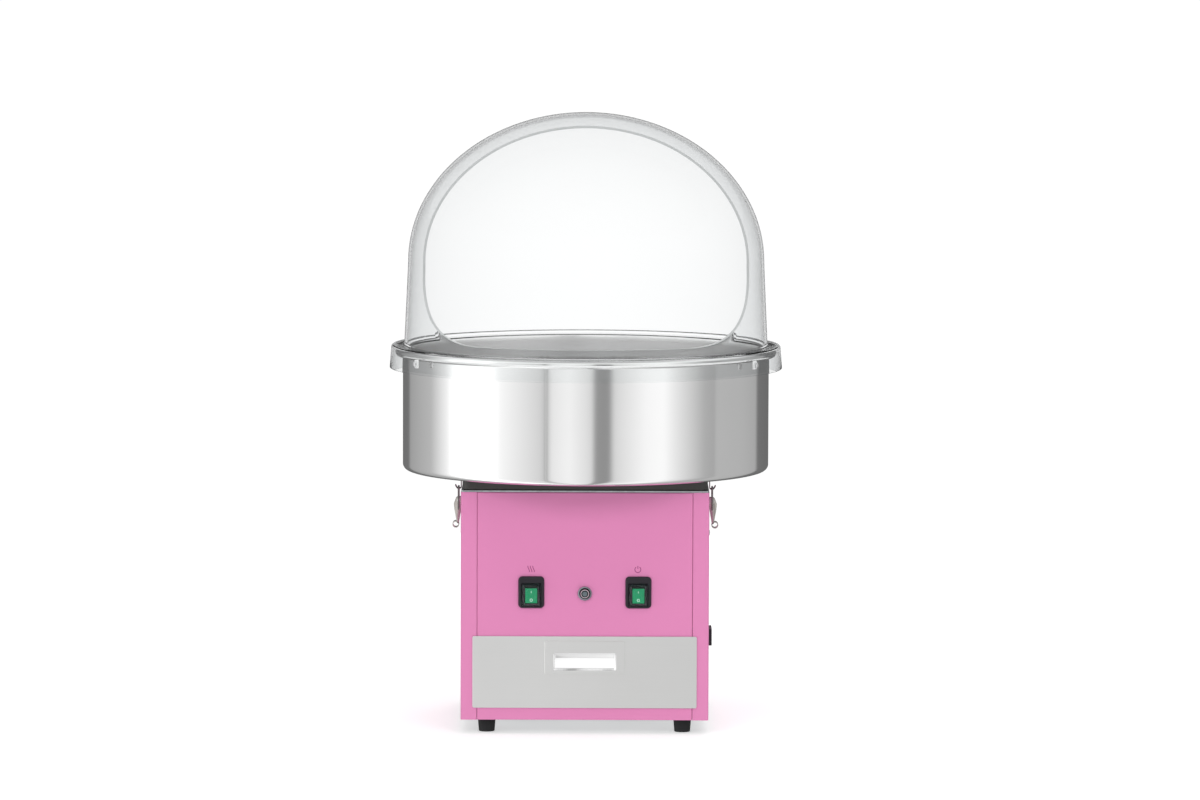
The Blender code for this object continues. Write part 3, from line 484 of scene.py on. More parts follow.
def rubbed_corner():
    """Wear where two upright sides meet: grows as |x| and |y| both near the half width."""
    group, given, result = new_group("rubbed_corner", {"Half": 0.167, "Band": 0.002})
    if given:
        x, y, _ = split_vector(group, given)
        near = math_node(group, "MINIMUM", math_node(group, "ABSOLUTE", x),
                         math_node(group, "ABSOLUTE", y))
        band = rubbed_band(group, given, near, "Half")
        grit = noise_node(group, given.outputs["Vector"], 260.0, 4.0, 0.7)
        broken = math_node(group, "MULTIPLY_ADD", grit, 3.0, -1.2, clamp=True)
        group.links.new(math_node(group, "MULTIPLY", band, broken), result.inputs["Mark"])
    return group


def rubbed_rim():
    """Wear round a rim: grows as the distance from the axis nears the rim's radius."""
    group, given, result = new_group("rubbed_rim", {"Radius": 0.260, "Band": 0.004})
    if given:
        x, y, _ = split_vector(group, given)
        band = rubbed_band(group, given, distance_out(group, x, y), "Radius")
        grit = noise_node(group, given.outputs["Vector"], 200.0, 4.0, 0.7)
        group.links.new(math_node(group, "MULTIPLY", band, grit), result.inputs["Mark"])
    return group


def mix_colour(tree, factor, first, second):
    """A colour Mix node of sockets or plain colours; gives back its result."""
    node = tree.nodes.new("ShaderNodeMix")
    node.data_type = "RGBA"
    tree.links.new(factor, node.inputs["Factor"])
    for label, value in (("A", first), ("B", second)):
        if isinstance(value, bpy.types.NodeSocket):
            tree.links.new(value, node.inputs[label])
        else:
            node.inputs[label].default_value = (*value, 1.0)
    return node.outputs["Result"]


def group_mark(tree, group, vector, values):
    """A group's Mark at a vector, with these values put in."""
    node = tree.nodes.new("ShaderNodeGroup")
    node.node_tree = group
    tree.links.new(vector, node.inputs["Vector"])
    for label, value in values.items():
        node.inputs[label].default_value = value
    return node.outputs["Mark"]


def finish(name, colour, rough, mark, metallic=0.0, fineness=None, stretch=None, tone=0.06,
           relief=0.01, smudge=9.0, wear=None, wear_colour=None, edge=None, plain=None):
    """A node material: a fine mark and broad smudges shade its colour, gloss and relief.

    rough is the gloss range from cleanest to dullest, tone the share by which the mark darkens the
    colour, relief the mark's height in millimetres, wear a group with the values it takes, and edge
    the colour of painted shade mixed in where a surface is seen at a slant, and its blend.
    """
    name += "_finish"
    if name in bpy.data.materials:
        return bpy.data.materials[name]
    material = bpy.data.materials.new(name)
    material.use_nodes = True
    tree = material.node_tree
    shader = tree.nodes["Principled BSDF"]
    shader.inputs["Metallic"].default_value = metallic
    for label, value in (plain or {}).items():
        shader.inputs[label].default_value = value
    where = tree.nodes.new("ShaderNodeTexCoord").outputs["Object"]
    along = where
    if stretch:
        mapping = tree.nodes.new("ShaderNodeMapping")
        mapping.inputs["Scale"].default_value = stretch
        tree.links.new(where, mapping.inputs["Vector"])
        along = mapping.outputs[0]
    fine = group_mark(tree, mark(), along, {"Fineness": fineness} if fineness else {})
    broad = group_mark(tree, handling(), where, {"Size": smudge})
    both = math_node(tree, "MULTIPLY_ADD", fine, FINE_SHARE,
                     math_node(tree, "MULTIPLY", broad, 1 - FINE_SHARE))
    gloss = math_node(tree, "MULTIPLY_ADD", both, rough[1] - rough[0], rough[0])
    tree.links.new(gloss, shader.inputs["Roughness"])

    colour_out = mix_colour(tree, both, colour, [value * (1 - tone) for value in colour])
    if wear:
        group, values = wear
        rubbed = group_mark(tree, group(), where, values)
        colour_out = mix_colour(tree, rubbed, colour_out, wear_colour)
    # Painted shade: the edge colour is mixed in as a surface turns away from the view.
    if edge:
        slant_shade_colour, blend = edge
        slant = tree.nodes.new("ShaderNodeLayerWeight")
        slant.inputs["Blend"].default_value = blend
        colour_out = mix_colour(tree, slant.outputs["Facing"], colour_out, slant_shade_colour)
    tree.links.new(colour_out, shader.inputs["Base Color"])

    bump = tree.nodes.new("ShaderNodeBump")
    bump.inputs["Strength"].default_value = BUMP_STRENGTH
    bump.inputs["Distance"].default_value = relief * MM
    tree.links.new(fine, bump.inputs["Height"])
    tree.links.new(bump.outputs[0], shader.inputs["Normal"])
    return material


def recipe(colour, *values, **options):
    """How to make a finish of a name; a colour given by name is one that the user has set."""
    def make(name):
        picked = colour
        if isinstance(colour, str):
            picked = tuple(getattr(bpy.context.scene.candy_colours, colour))
        return finish(name, picked, *values, **options)
    return make


FINISHES = {
    "pink_enamel": recipe(
        "enamel", (0.36, 0.46), powder_peel, fineness=420.0, tone=0.035,
        relief=0.012, smudge=5.0, wear=(rubbed_corner, {"Half": 0.1672, "Band": 0.0012}),
        wear_colour=paint(238, 170, 205), plain={"Specular IOR Level": 0.32}),
    "spun_steel": recipe(
        "steel", (0.07, 0.15), turned_marks, 1.0, fineness=1500.0,
        tone=0.07, relief=0.0015, smudge=7.0, wear=(rubbed_rim, {"Radius": 0.2600, "Band": 0.003}),
        wear_colour=paint(236, 236, 235)),
    "satin_steel": recipe(
        paint(246, 246, 246), (0.24, 0.36), turned_marks, 1.0, fineness=1500.0,
        tone=0.05, relief=0.002, smudge=7.0),
    "latch_wire": recipe(
        paint(128, 126, 124), (0.22, 0.36), brush_marks, 1.0,
        stretch=(500.0, 500.0, 500.0), tone=0.15, relief=0.002, smudge=60.0),
    "brushed_steel": recipe(
        paint(236, 236, 235), (0.24, 0.36), brush_marks, 1.0,
        stretch=(14.0, 14.0, 2600.0), tone=0.08, relief=0.002, smudge=6.0),
    "tray_steel": recipe(
        paint(214, 215, 216), (0.24, 0.42), brush_marks, 1.0,
        stretch=(700.0, 20.0, 700.0), tone=0.12, relief=0.002, smudge=14.0),
    "pressed_steel": recipe(
        paint(200, 196, 190), (0.20, 0.34), brush_marks, 1.0,
        stretch=(900.0, 900.0, 60.0), tone=0.10, relief=0.002, smudge=60.0),
    "bright_steel": recipe(
        paint(232, 232, 233), (0.08, 0.20), brush_marks, 1.0,
        stretch=(500.0, 500.0, 500.0), tone=0.08, relief=0.001, smudge=80.0),
    "zinc_steel": recipe(
        paint(196, 200, 204), (0.30, 0.52), zinc_spangle, 1.0, fineness=170.0,
        tone=0.26, relief=0.002, smudge=12.0),
    "cast_aluminium": recipe(
        paint(198, 200, 201), (0.38, 0.56), moulded_grain, 1.0, fineness=700.0,
        tone=0.14, relief=0.03, smudge=20.0),
    "turned_aluminium": recipe(
        paint(214, 215, 216), (0.20, 0.38), turned_marks, 1.0, fineness=1900.0,
        tone=0.12, relief=0.004, smudge=18.0),
    "heated_steel": recipe(
        paint(120, 112, 104), (0.35, 0.6), brush_marks, 1.0,
        stretch=(160.0, 160.0, 160.0), tone=0.45, relief=0.02, smudge=40.0),
    "copper": recipe(
        paint(196, 122, 88), (0.22, 0.46), turned_marks, 1.0, fineness=1600.0, tone=0.22,
        relief=0.004, smudge=30.0),
    "rubber": recipe(
        paint(34, 34, 36), (0.62, 0.85), moulded_grain, fineness=1500.0, tone=0.35,
        relief=0.04, smudge=25.0, plain={"Specular IOR Level": 0.35}),
    "black_plastic": recipe(
        paint(26, 21, 31), (0.30, 0.46), moulded_grain, fineness=2200.0, tone=0.25,
        relief=0.012, smudge=40.0, plain={"Specular IOR Level": 0.45}),
    "seat_plastic": recipe(
        paint(58, 56, 55), (0.40, 0.60), moulded_grain, fineness=1500.0, tone=0.22,
        relief=0.02, smudge=14.0, wear=(rubbed_corner, {"Half": 0.1645, "Band": 0.004}),
        wear_colour=paint(92, 90, 88)),
    "bakelite": recipe(
        paint(74, 44, 30), (0.30, 0.5), moulded_grain, fineness=900.0, tone=0.4,
        relief=0.01, smudge=40.0),
    "carbon": recipe(
        paint(38, 38, 40), (0.5, 0.72), brush_marks, 0.2, stretch=(900.0, 900.0, 120.0),
        tone=0.4, relief=0.01, smudge=60.0),
    # The rocker's emission is a painted glow: the switch holds no lamp.
    "green_rocker": recipe(
        "rocker", (0.22, 0.34), moulded_grain, fineness=2600.0,
        tone=0.10, relief=0.006, smudge=90.0,
        plain={"Emission Color": (*paint(30, 170, 115), 1.0), "Emission Strength": 0.16}),
    "white_plastic": recipe(
        paint(236, 236, 236), (0.30, 0.46), moulded_grain, fineness=2200.0,
        tone=0.05, relief=0.01, smudge=60.0),
    "grey_button": recipe(
        paint(98, 110, 116), (0.40, 0.55), moulded_grain, fineness=2400.0, tone=0.12,
        relief=0.008, smudge=90.0),
    "printed_mark": recipe(
        "marks", (0.45, 0.6), powder_peel, fineness=900.0, tone=0.12,
        relief=0.004, smudge=90.0),
    # The marks' emission is a painted glow: they hold no lamp.
    "white_mark": recipe(
        paint(240, 246, 243), (0.4, 0.55), powder_peel, fineness=1200.0, tone=0.05,
        relief=0.003, smudge=90.0,
        plain={"Emission Color": (*paint(230, 245, 238), 1.0), "Emission Strength": 0.12}),
    # The grey mixed in where the dome is seen at a slant is painted shade.
    "clear_dome": recipe(
        paint(252, 253, 253), (0.0, 0.008), brush_marks,
        stretch=(40.0, 40.0, 40.0), tone=0.01, relief=0.000005, smudge=8.0,
        edge=(paint(216, 217, 218), 0.30), plain={"Transmission Weight": 1.0, "IOR": 1.09}),
    "sawn_edge": recipe(
        paint(190, 193, 193), (0.25, 0.45), brush_marks, stretch=(300.0, 2500.0, 2500.0),
        tone=0.12, relief=0.004, smudge=30.0),
    # The dark teal mixed in where the boot is seen at a slant is painted shade.
    "clear_boot": recipe(
        paint(206, 232, 222), (0.02, 0.07), moulded_grain, fineness=900.0, tone=0.06,
        relief=0.002, smudge=90.0, edge=(paint(120, 168, 150), 0.35),
        plain={"Transmission Weight": 1.0, "IOR": 1.25}),
    "dark_chrome": recipe(
        paint(150, 152, 160), (0.14, 0.26), turned_marks, 1.0, fineness=1400.0,
        tone=0.12, relief=0.002, smudge=90.0),
    "scoop_steel": recipe(
        paint(252, 252, 252), (0.06, 0.14), brush_marks, 1.0,
        stretch=(14.0, 14.0, 1800.0), tone=0.04, relief=0.001, smudge=30.0),
}


def dress(node_finishes):
    """Gives frame nodes that stay in view their finish, by name."""
    for finish_name, nodes in node_finishes.items():
        for node in nodes:
            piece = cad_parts[node]
            piece.data.materials.clear()
            piece.data.materials.append(FINISHES[finish_name](finish_name))


# ---- Settings -----------------------------------------------------------------------------------
class CandyColours(bpy.types.PropertyGroup):
    """Colours a user may change before building."""

    enamel: FloatVectorProperty(
        name="Enamel", description="Baked paint of the cabinet", default=paint(223, 136, 184),
        subtype="COLOR", min=0.0, max=1.0)
    steel: FloatVectorProperty(
        name="Steel", description="Tint of the spun bowl", default=paint(242, 242, 242),
        subtype="COLOR", min=0.0, max=1.0)
    rocker: FloatVectorProperty(
        name="Rockers", description="Switch rockers", default=paint(30, 154, 110),
        subtype="COLOR", min=0.0, max=1.0)
    marks: FloatVectorProperty(
        name="Marks", description="Marks printed over the switches", default=paint(150, 50, 110),
        subtype="COLOR", min=0.0, max=1.0)


class CandySizes(bpy.types.PropertyGroup):
    """Sizes a user may change before building."""

    bowl_segments: IntProperty(
        name="Bowl segments", description="Faces round the bowl and dome",
        default=224, min=64, max=512)
    seam_depth: FloatProperty(
        name="Seam depth", description="Depth of the bowl wall's welded seam", default=0.00002,
        min=0.0, max=0.001, unit="LENGTH")
    mark_width: FloatProperty(
        name="Mark width", description="Line width of the printed marks", default=0.00095,
        min=0.0002, max=0.003, unit="LENGTH")
    panel_bend: FloatProperty(
        name="Panel bend", description="Outer radius of the front and rear panels' bends",
        default=0.0016, min=0.0013, max=0.004, unit="LENGTH")


# ---- Stage --------------------------------------------------------------------------------------
# Studio surroundings as the metal sees them: bearing in degrees (0 in front, + to the right)
# and screen grey, which may go over 255.
SURROUNDINGS = (
    (-180, 105), (-149, 112), (-145, 158), (-114, 184), (-97, 246), (-88, 300), (-66, 300),
    (-55, 252), (-27, 212), (-26, 170), (-23, 172), (-22, 234), (-10, 246), (4, 220), (6, 146),
    (15, 142), (17.5, 216), (38, 250), (50, 256), (60, 230), (80, 176), (89, 166), (90, 182),
    (116, 178), (135, 168), (139, 112), (180, 100),
)


BAND_RANGE = 1.6  # the ramp holds greys up to this much light
BAND_STRENGTH = 1.12
OVERHEAD_GREY = 0.92
OVERHEAD_RISE = (2.6, -0.9)  # slope and offset of the change from bands to overhead light
STEEP_RISE = (3.0, -1.9)  # and of the fall in strength straight overhead
OVERHEAD_STRENGTH, OVERHEAD_LOSS = 1.34, -0.72
FILL_STRENGTH = 0.335
WHITE_STRENGTH = 1.03


def grey_of(level):
    """A screen grey as linear light, where levels over 255 go on getting brighter."""
    share = level / 255.0
    return ((share + 0.055) / 1.055) ** 2.4


def background(tree, colour, strength):
    """A Background whose colour is a socket or a grey, and its strength a socket or a number."""
    node = tree.nodes.new("ShaderNodeBackground")
    for label, value in (("Color", colour), ("Strength", strength)):
        if isinstance(value, bpy.types.NodeSocket):
            tree.links.new(value, node.inputs[label])
        else:
            node.inputs[label].default_value = (
                (value, value, value, 1.0) if label == "Color" else value)
    return node.outputs[0]


def mix_shaders(tree, factor, first, second):
    """A Mix Shader; gives back its result."""
    node = tree.nodes.new("ShaderNodeMixShader")
    for socket, value in zip(node.inputs, (factor, first, second)):
        tree.links.new(value, socket)
    return node.outputs[0]


def make_world():
    """The studio as light, which depends on how a ray gets to it.

    It is white to the eye and through glass, bands of grey by bearing in reflections, with a
    softer light overhead, and even for fill. Reflections in metal that is seen through glass get
    the bands too.
    """
    world = bpy.data.worlds.new("studio")
    bpy.context.scene.world = world
    world.use_nodes = True
    tree = world.node_tree
    tree.nodes.clear()
    direction = tree.nodes.new("ShaderNodeTexCoord").outputs["Generated"]
    split = tree.nodes.new("ShaderNodeSeparateXYZ")
    tree.links.new(direction, split.inputs[0])
    right, away, up = split.outputs
    bearing = math_node(tree, "ARCTAN2", right, math_node(tree, "MULTIPLY", away, -1.0))
    ramp = tree.nodes.new("ShaderNodeValToRGB")
    ramp.color_ramp.interpolation = "LINEAR"
    stops = ramp.color_ramp.elements
    for position, (degrees, level) in enumerate(SURROUNDINGS):
        stop = stops[position] if position < 2 else stops.new(degrees / 360 + 0.5)
        stop.position = degrees / 360 + 0.5
        value = grey_of(level) / BAND_RANGE
        stop.color = (value, value, value, 1.0)
    turn = math_node(tree, "MULTIPLY_ADD", bearing, 1 / (2 * math.pi), 0.5)
    tree.links.new(turn, ramp.inputs[0])

    bands = background(tree, ramp.outputs[0], BAND_RANGE * BAND_STRENGTH)
    steep = math_node(tree, "MULTIPLY_ADD", up, *STEEP_RISE, clamp=True)
    overhead = math_node(tree, "MULTIPLY_ADD", steep, OVERHEAD_LOSS, OVERHEAD_STRENGTH)
    above = background(tree, OVERHEAD_GREY, overhead)
    height = math_node(tree, "MULTIPLY_ADD", up, *OVERHEAD_RISE, clamp=True)
    glossy = mix_shaders(tree, height, bands, above)

    light = tree.nodes.new("ShaderNodeLightPath").outputs
    even = background(tree, 1.0, FILL_STRENGTH)
    fill = mix_shaders(tree, light["Is Diffuse Ray"], glossy, even)
    white = background(tree, 1.0, WHITE_STRENGTH)
    mirrored = math_node(tree, "GREATER_THAN", light["Glossy Depth"], 0.5)
    passed = math_node(tree, "GREATER_THAN", light["Transmission Depth"], 2.5)
    metal = math_node(tree, "MULTIPLY", mirrored, passed)
    bounced = math_node(tree, "ADD", metal, light["Diffuse Depth"])
    straight = math_node(tree, "LESS_THAN", bounced, 0.5)
    through = math_node(tree, "MULTIPLY", light["Is Transmission Ray"], straight)
    seen = math_node(tree, "MAXIMUM", light["Is Camera Ray"], through)
    out = tree.nodes.new("ShaderNodeOutputWorld")
    tree.links.new(mix_shaders(tree, seen, fill, white), out.inputs[0])


# Each lamp's name, place, target and size in metres, and power in watts.
LAMPS = (
    ("front_left_lamp", (-2.0, -4.2, 2.5), (0, 0, 0.25), (2.4, 1.5), 54.5),
    ("front_right_lamp", (2.2, -4.0, 2.5), (0, 0, 0.25), (2.4, 1.5), 45.5),
    ("top_lamp", (0.0, -0.6, 3.2), (0, 0, 0.4), (2.6, 2.6), 33.0),
    ("rear_lamp", (0.6, 3.2, 2.4), (0, 0, 0.4), (2.4, 2.0), 58.0),
)


def make_light(name, spot, target, size, power):
    """A soft square lamp that lights the machine and isn't seen in its metal or glass."""
    lamp = bpy.data.lights.new(name, "AREA")
    lamp.energy = power
    lamp.shape = "RECTANGLE"
    lamp.size, lamp.size_y = size
    holder = bpy.data.objects.new(name, lamp)
    bpy.context.scene.collection.objects.link(holder)
    aim = (Vector(target) - Vector(spot)).to_track_quat("-Z", "Y").to_matrix().to_4x4()
    holder.matrix_world = Matrix.Translation(spot) @ aim
    holder.visible_camera = False
    holder.visible_glossy = False
    holder.visible_transmission = False
    return holder


def make_camera():
    """The view: 8.5 m in front, looking down by 4.9 degrees, with a slight roll."""
    target = Vector((0.0195, 0.0, 0.4365))
    reach, climb, roll = 8.5, math.radians(4.9), math.radians(0.2)
    spot = target + Vector((0.0, -reach * math.cos(climb), reach * math.sin(climb)))
    lens = bpy.data.cameras.new("view")
    lens.lens = 186.4
    lens.sensor_width = 36.0
    lens.clip_end = 60.0
    camera = bpy.data.objects.new("view", lens)
    bpy.context.scene.collection.objects.link(camera)
    aim = (target - spot).to_track_quat("-Z", "Y").to_matrix().to_4x4()
    camera.matrix_world = Matrix.Translation(spot) @ aim @ Matrix.Rotation(roll, 4, "Z")
    bpy.context.scene.camera = camera


def make_floor():
    """A pale round floor: a low dish whose height grows with the fourth power of its radius."""
    share = np.linspace(0.0, 1.0, 24)[:, None]
    sides = full_turn(72)
    rings = around(share * 2400.0, sides[None, :], -0.6 - 2.0 * share**4)
    mesh = bpy.data.meshes.new("studio_floor")
    faces = grid_faces(len(share), len(sides), False, True)
    mesh.from_pydata(place(rings, "up").reshape(-1, 3).tolist(), [], faces.tolist())
    close_up(mesh)
    floor = bpy.data.objects.new("studio_floor", mesh)
    bpy.context.scene.collection.objects.link(floor)
    material = finish(
        "studio_paper", (0.66, 0.66, 0.66), (0.8, 0.95), powder_peel, fineness=40.0, tone=0.01,
        relief=0.01, plain={"Emission Color": (1.0, 1.0, 1.0, 1.0), "Emission Strength": 0.50})
    mesh.materials.append(material)
    floor.visible_glossy = False


class CANDY_OT_stage(bpy.types.Operator):
    """Camera, soft lights, surroundings and the pale floor"""

    bl_idname = "candy.stage"
    bl_label = "Stage"

    def execute(self, context):
        context.scene.view_settings.view_transform = "Standard"
        context.scene.view_settings.look = "None"
        make_world()
        make_camera()
        make_floor()
        for lamp in LAMPS:
            make_light(*lamp)
        return {"FINISHED"}


# ---- Bowl and dome ------------------------------------------------------------------------------
BOWL_RADIUS = 250.0  # outside of the bowl's wall
SEAM_WIDTH = 0.7
SEAM_BEARING = math.radians(270.0 - 12.0)


def line_of(start, stop, count):
    """Evenly spaced points on a straight line."""
    return np.linspace(start, stop, count)


def bowl_profile():
    """Section of the bowl's sheet: collar, floor, corner, wall, rolled bead, and back inside."""
    return outline_of(
        [(92.0, 366.0)], bow((96.2, 346.2), 4.2, 180, 270), bow((242.0, 350.0), 8.0, 270, 360, 8),
        line_of((BOWL_RADIUS, 352.0), (BOWL_RADIUS, 500.9), 24),
        bow((254.4, 504.4), 5.6, 218.2, 540, 22), line_of((248.8, 500.0), (248.8, 352.0), 10),
        bow((242.0, 350.0), 6.8, 0, -90, 8), bow((96.2, 346.2), 3.0, 270, 180), [(93.2, 366.0)])


def satin_inside(mesh):
    """Gives the faces inside the wall that look at the axis or upwards the duller finish."""
    middles = np.empty(len(mesh.polygons) * 3)
    normals = np.empty_like(middles)
    mesh.polygons.foreach_get("center", middles)
    mesh.polygons.foreach_get("normal", normals)
    middles, normals = middles.reshape(-1, 3), normals.reshape(-1, 3)
    out = np.hypot(middles[:, 0], middles[:, 1])
    outward = (middles[:, :2] * normals[:, :2]).sum(axis=1) / out
    inside = (out < 249.2 * MM) & ((outward < -0.1) | (normals[:, 2] > 0.1))
    mesh.materials.append(FINISHES["satin_steel"]("satin_steel"))
    mesh.polygons.foreach_set("material_index", inside.astype(np.int32))


class CANDY_OT_bowl(bpy.types.Operator):
    """The spun steel bowl with its rolled bead and welded seam"""

    bl_idname = "candy.bowl"
    bl_label = "Bowl"

    def execute(self, context):
        sizes = context.scene.candy_sizes
        profile = bowl_profile()
        near_seam = SEAM_BEARING + np.linspace(-1.6, 1.6, 9) / BOWL_RADIUS
        angle = np.union1d(full_turn(sizes.bowl_segments), near_seam)[None, :]
        radius, height = profile[:, :1], profile[:, 1:]
        on_wall = (radius > BOWL_RADIUS - 0.1) & (height > 349.0) & (height < 501.5)
        across = (angle - SEAM_BEARING) * BOWL_RADIUS
        groove = sizes.seam_depth / MM * np.exp(-((across / SEAM_WIDTH) ** 2))
        rings = around(radius - np.where(on_wall, groove, 0.0), angle, height)
        bowl = skin("spun_bowl", rings, "spun_steel", "up", loop=True)
        satin_inside(bowl.data)
        fit(bowl, "cabinet", "stainless", "bowl")
        return {"FINISHED"}


def dome_profile():
    """Section of the dome, out and back in: elliptical crown, leaning wall, flange and skirt."""
    return outline_of(
        bow((0, 627.0), (243.0, 203.0), 90, 0, 40),
        line_of((243.4, 615.0), (248.0, 516.4), 8),
        bow((251.0, 516.3), 3.0, 180, 270), bow((262.0, 509.3), 4.0, 90, 4), [(268.0, 482.3)],
        bow((267.2, 482.3), 0.8, 0, -90, 3), bow((266.4, 482.3), 0.8, -90, -180, 3),
        bow((262.0, 508.8), 1.5, 0, 90, 3), [(245.0, 510.3)],
        line_of((244.9, 512.5), (240.4, 615.0), 8),
        bow((0, 627.0), (240.0, 200.0), 0, 90, 40))


def mouth_outline():
    """Side view of what the mouth takes away: level floor, quarter ellipse, leaning line."""
    return outline_of(
        [(-300, 523.5)], bow((-205, 618.5), (101, 95), -90, 0, 28), [(-88, 860), (-300, 860)])


CLIP_PLACE = (0, 495.5)  # before it is turned to its bearing round the skirt


class CANDY_OT_dome(bpy.types.Operator):
    """The clear cover with its cut mouth, clips and screws"""

    bl_idname = "candy.dome"
    bl_label = "Dome"

    def execute(self, context):
        segments = context.scene.candy_sizes.bowl_segments
        dome = turned(
            "clear_cover", dome_profile(), "clear_dome", segments=segments, loop=False)
        mouth = drawn("mouth", mouth_outline(), -300, 300, "sawn_edge", "right")
        carve(dome, mouth, crease=40)
        soften(dome, 0.35, 2, 40)
        dome.visible_shadow = False
        fit(dome, "dome_cover", "clear_plastic", "dome")
        for name, bearing in (("left", -150.0), ("right", -30.0), ("rear", 90.0)):
            clip = slab(f"cover_clip_{name}", (4.0, 5.5), 1.4, 261.1, 263.4, 0.5,
                        "white_plastic", "right", CLIP_PLACE)
            screw = turned(f"cover_screw_{name}", screw_profile(2.9, 0.9, 267.0, -3.4),
                           "bright_steel", "right", CLIP_PLACE, 24, loop=False)
            turn = Matrix.Rotation(math.radians(bearing), 4, "Z")
            clip.data.transform(turn)
            screw.data.transform(turn)
            fit(clip, "dome_cover", "white_plastic", f"dome_clip_{name}")
            fit(screw, "dome_cover", "stainless")
        return {"FINISHED"}


# ---- Screws -------------------------------------------------------------------------------------
def screw_profile(radius, height, seat, sink):
    """Half section of a pan head: an edge arc and a low dome, closed by its shank."""
    dome = bow((0, seat + height * 0.45), (radius, height * 0.55), 0, 90, 6)
    shank = radius * 0.5
    return outline_of([(0, seat + sink), (shank, seat + sink), (shank, seat), (radius, seat)], dome)


def screw_rings(radius, height):
    """A pan head: a dome on a polar grid, lowered where either bar of its cross recess is."""
    share = np.linspace(1.0, 0.0, 9)[:, None]
    angle = full_turn(32)[None, :]
    u = radius * share * np.cos(angle)
    v = radius * share * np.sin(angle)
    top = height * (0.35 + 0.65 * np.sqrt(np.clip(1 - share**2, 0, 1))) + 0 * angle
    narrow, long = 0.19 * radius, 0.62 * radius
    bar_u = np.clip((narrow - np.abs(u)) / (0.1 * radius) + 0.5, 0, 1) * (np.abs(v) < long)
    bar_v = np.clip((narrow - np.abs(v)) / (0.1 * radius) + 0.5, 0, 1) * (np.abs(u) < long)
    top = top - 0.55 * height * np.maximum(bar_u, bar_v)
    base = np.stack([u[:1], v[:1], np.zeros_like(u[:1])], -1)
    return np.concatenate([base, np.stack([u, v, top], -1)])


def screws(name, spots, face, radius, height, body, facing):
    """Pan-head screws at (u, v) spots on a face, as one piece."""
    spots = [(u, v, face) for u, v in spots]
    piece = skin(name, screw_rings(radius, height), "bright_steel", facing, spots=spots, crease=40)
    return fit(piece, body, "stainless")


# ---- Cabinet ------------------------------------------------------------------------------------
PANEL_FACE = 167.0  # from the axis to the outside of every panel
SHEET = 1.2


def panel_height():
    """Middle and half height of the panels, in millimetres, from the frame."""
    low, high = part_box("front_panel")
    return (low.z + high.z) / 2 / MM, (high.z - low.z) / 2 / MM


def block(half, corner, middle, low, high, facing, spots=((0, 0, 0),)):
    """Plain cutter: a rounded outline drawn from low to high, repeated at each spot."""
    rings = [oblong(half, corner, low, 0.0, middle), oblong(half, corner, high, 0.0, middle)]
    return skin("cutter", rings, None, facing, spots=spots)


def make_side(side, name):
    """A side panel: its bent strip in plan, drawn up the cabinet, with the inlet's cutout."""
    middle, half = panel_height()
    flange, wall = side * 145.3, side * 166.4
    corners = [(flange, -166.4), (wall, -166.4), (wall, 166.4), (flange, 166.4)]
    outline = strip_outline(rounded_path(corners, 2.4, 8), SHEET)
    panel = drawn(f"{name}_side", outline, middle - half, middle + half, "pink_enamel", "up")
    if side > 0:
        hole = box_middle("power_inlet", "y", "z")
        carve(panel, block((14.5, 10.5), 0.5, hole, 150.0, 180.0, "right"))
    fit(panel, "cabinet", "pink_enamel", f"{name}_side_panel")


class CANDY_OT_cabinet(bpy.types.Operator):
    """The painted panels, the bowl's seat and the panels' screws"""

    bl_idname = "candy.cabinet"
    bl_label = "Cabinet"

    def execute(self, context):
        middle, half = panel_height()
        bend = context.scene.candy_sizes.panel_bend / MM
        make_side(-1, "left")
        make_side(1, "right")

        shape = ((145.0, half), 0.6, (0, middle), PANEL_FACE, 14.0, SHEET, bend, "pink_enamel")
        front = pan("front_sheet", *shape)
        switches = [(-SWITCH_REACH, 0, 0), (SWITCH_REACH, 0, 0)]
        bore = [(0, 163.0), (6.2, 163.0), (6.2, 180.0), (0, 180.0)]
        carve(
            front,
            block((138.0, 45.0), 3.0, (0, 83.0), 140.0, 180.0, "front"),
            block((11.3, 13.8), 1.0, (0, ROCKER_AXLE[1]), 163.0, 180.0, "front", switches),
            turned("cutter", bore, None, "front", BREAKER_PLACE, 32, loop=False))
        fit(front, "cabinet", "pink_enamel", "front_panel")

        rear = pan("rear_sheet", *shape, "rear")
        slots = [(u, 12.0 * k, 0) for u in (-70, 70) for k in range(6)]
        carve(rear, block((40.0, 2.5), 2.4, (0, 225.0), 160.0, 175.0, "rear", slots))
        fit(rear, "cabinet", "pink_enamel", "rear_panel")

        low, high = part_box("bowl_seat")
        make_seat(low.z / MM, 341.7, high.z / MM)
        spots = [(u, v) for u in (-132, 132) for v in (34, 172, 310)]
        screws("rear_screws", spots, PANEL_FACE, 3.4, 1.7, "cabinet", "rear")
        for name in ("left", "right"):
            spots = [(152, v) for v in (30, 172, 314)]
            screws(f"{name}_side_screws", spots, PANEL_FACE, 3.4, 1.7, "cabinet", name)
        return {"FINISHED"}


def make_seat(low, top, collar):
    """The bowl's seat: a section with a raised collar, from a square outline to a round hole."""
    steps = 16
    half, corner, chamfer = (165.0, 165.0), 12.0, 1.2
    rings = [oblong(half, corner, low, chamfer, steps=steps),
             oblong(half, corner, low + chamfer, steps=steps)]
    rings += lipped(half, corner, top, 1.6, steps=steps)
    collar_section = [
        (90.0, top), (88.5, top + 0.6), (88.5, collar - 0.4), (88.1, collar), (84.9, collar),
        (84.5, collar - 0.4), (84.5, top), (58.6, top), (58.0, top - 0.6), (58.0, low)]
    rings += [oblong((radius, radius), radius, w, steps=steps) for radius, w in collar_section]
    seat = skin("rubber_seat", rings, "seat_plastic", "up", loop=True)
    fit(seat, "cabinet", "black_plastic", "bowl_seat")


# ---- Drawer -------------------------------------------------------------------------------------
PULL_PLACE = (0, 97.25)


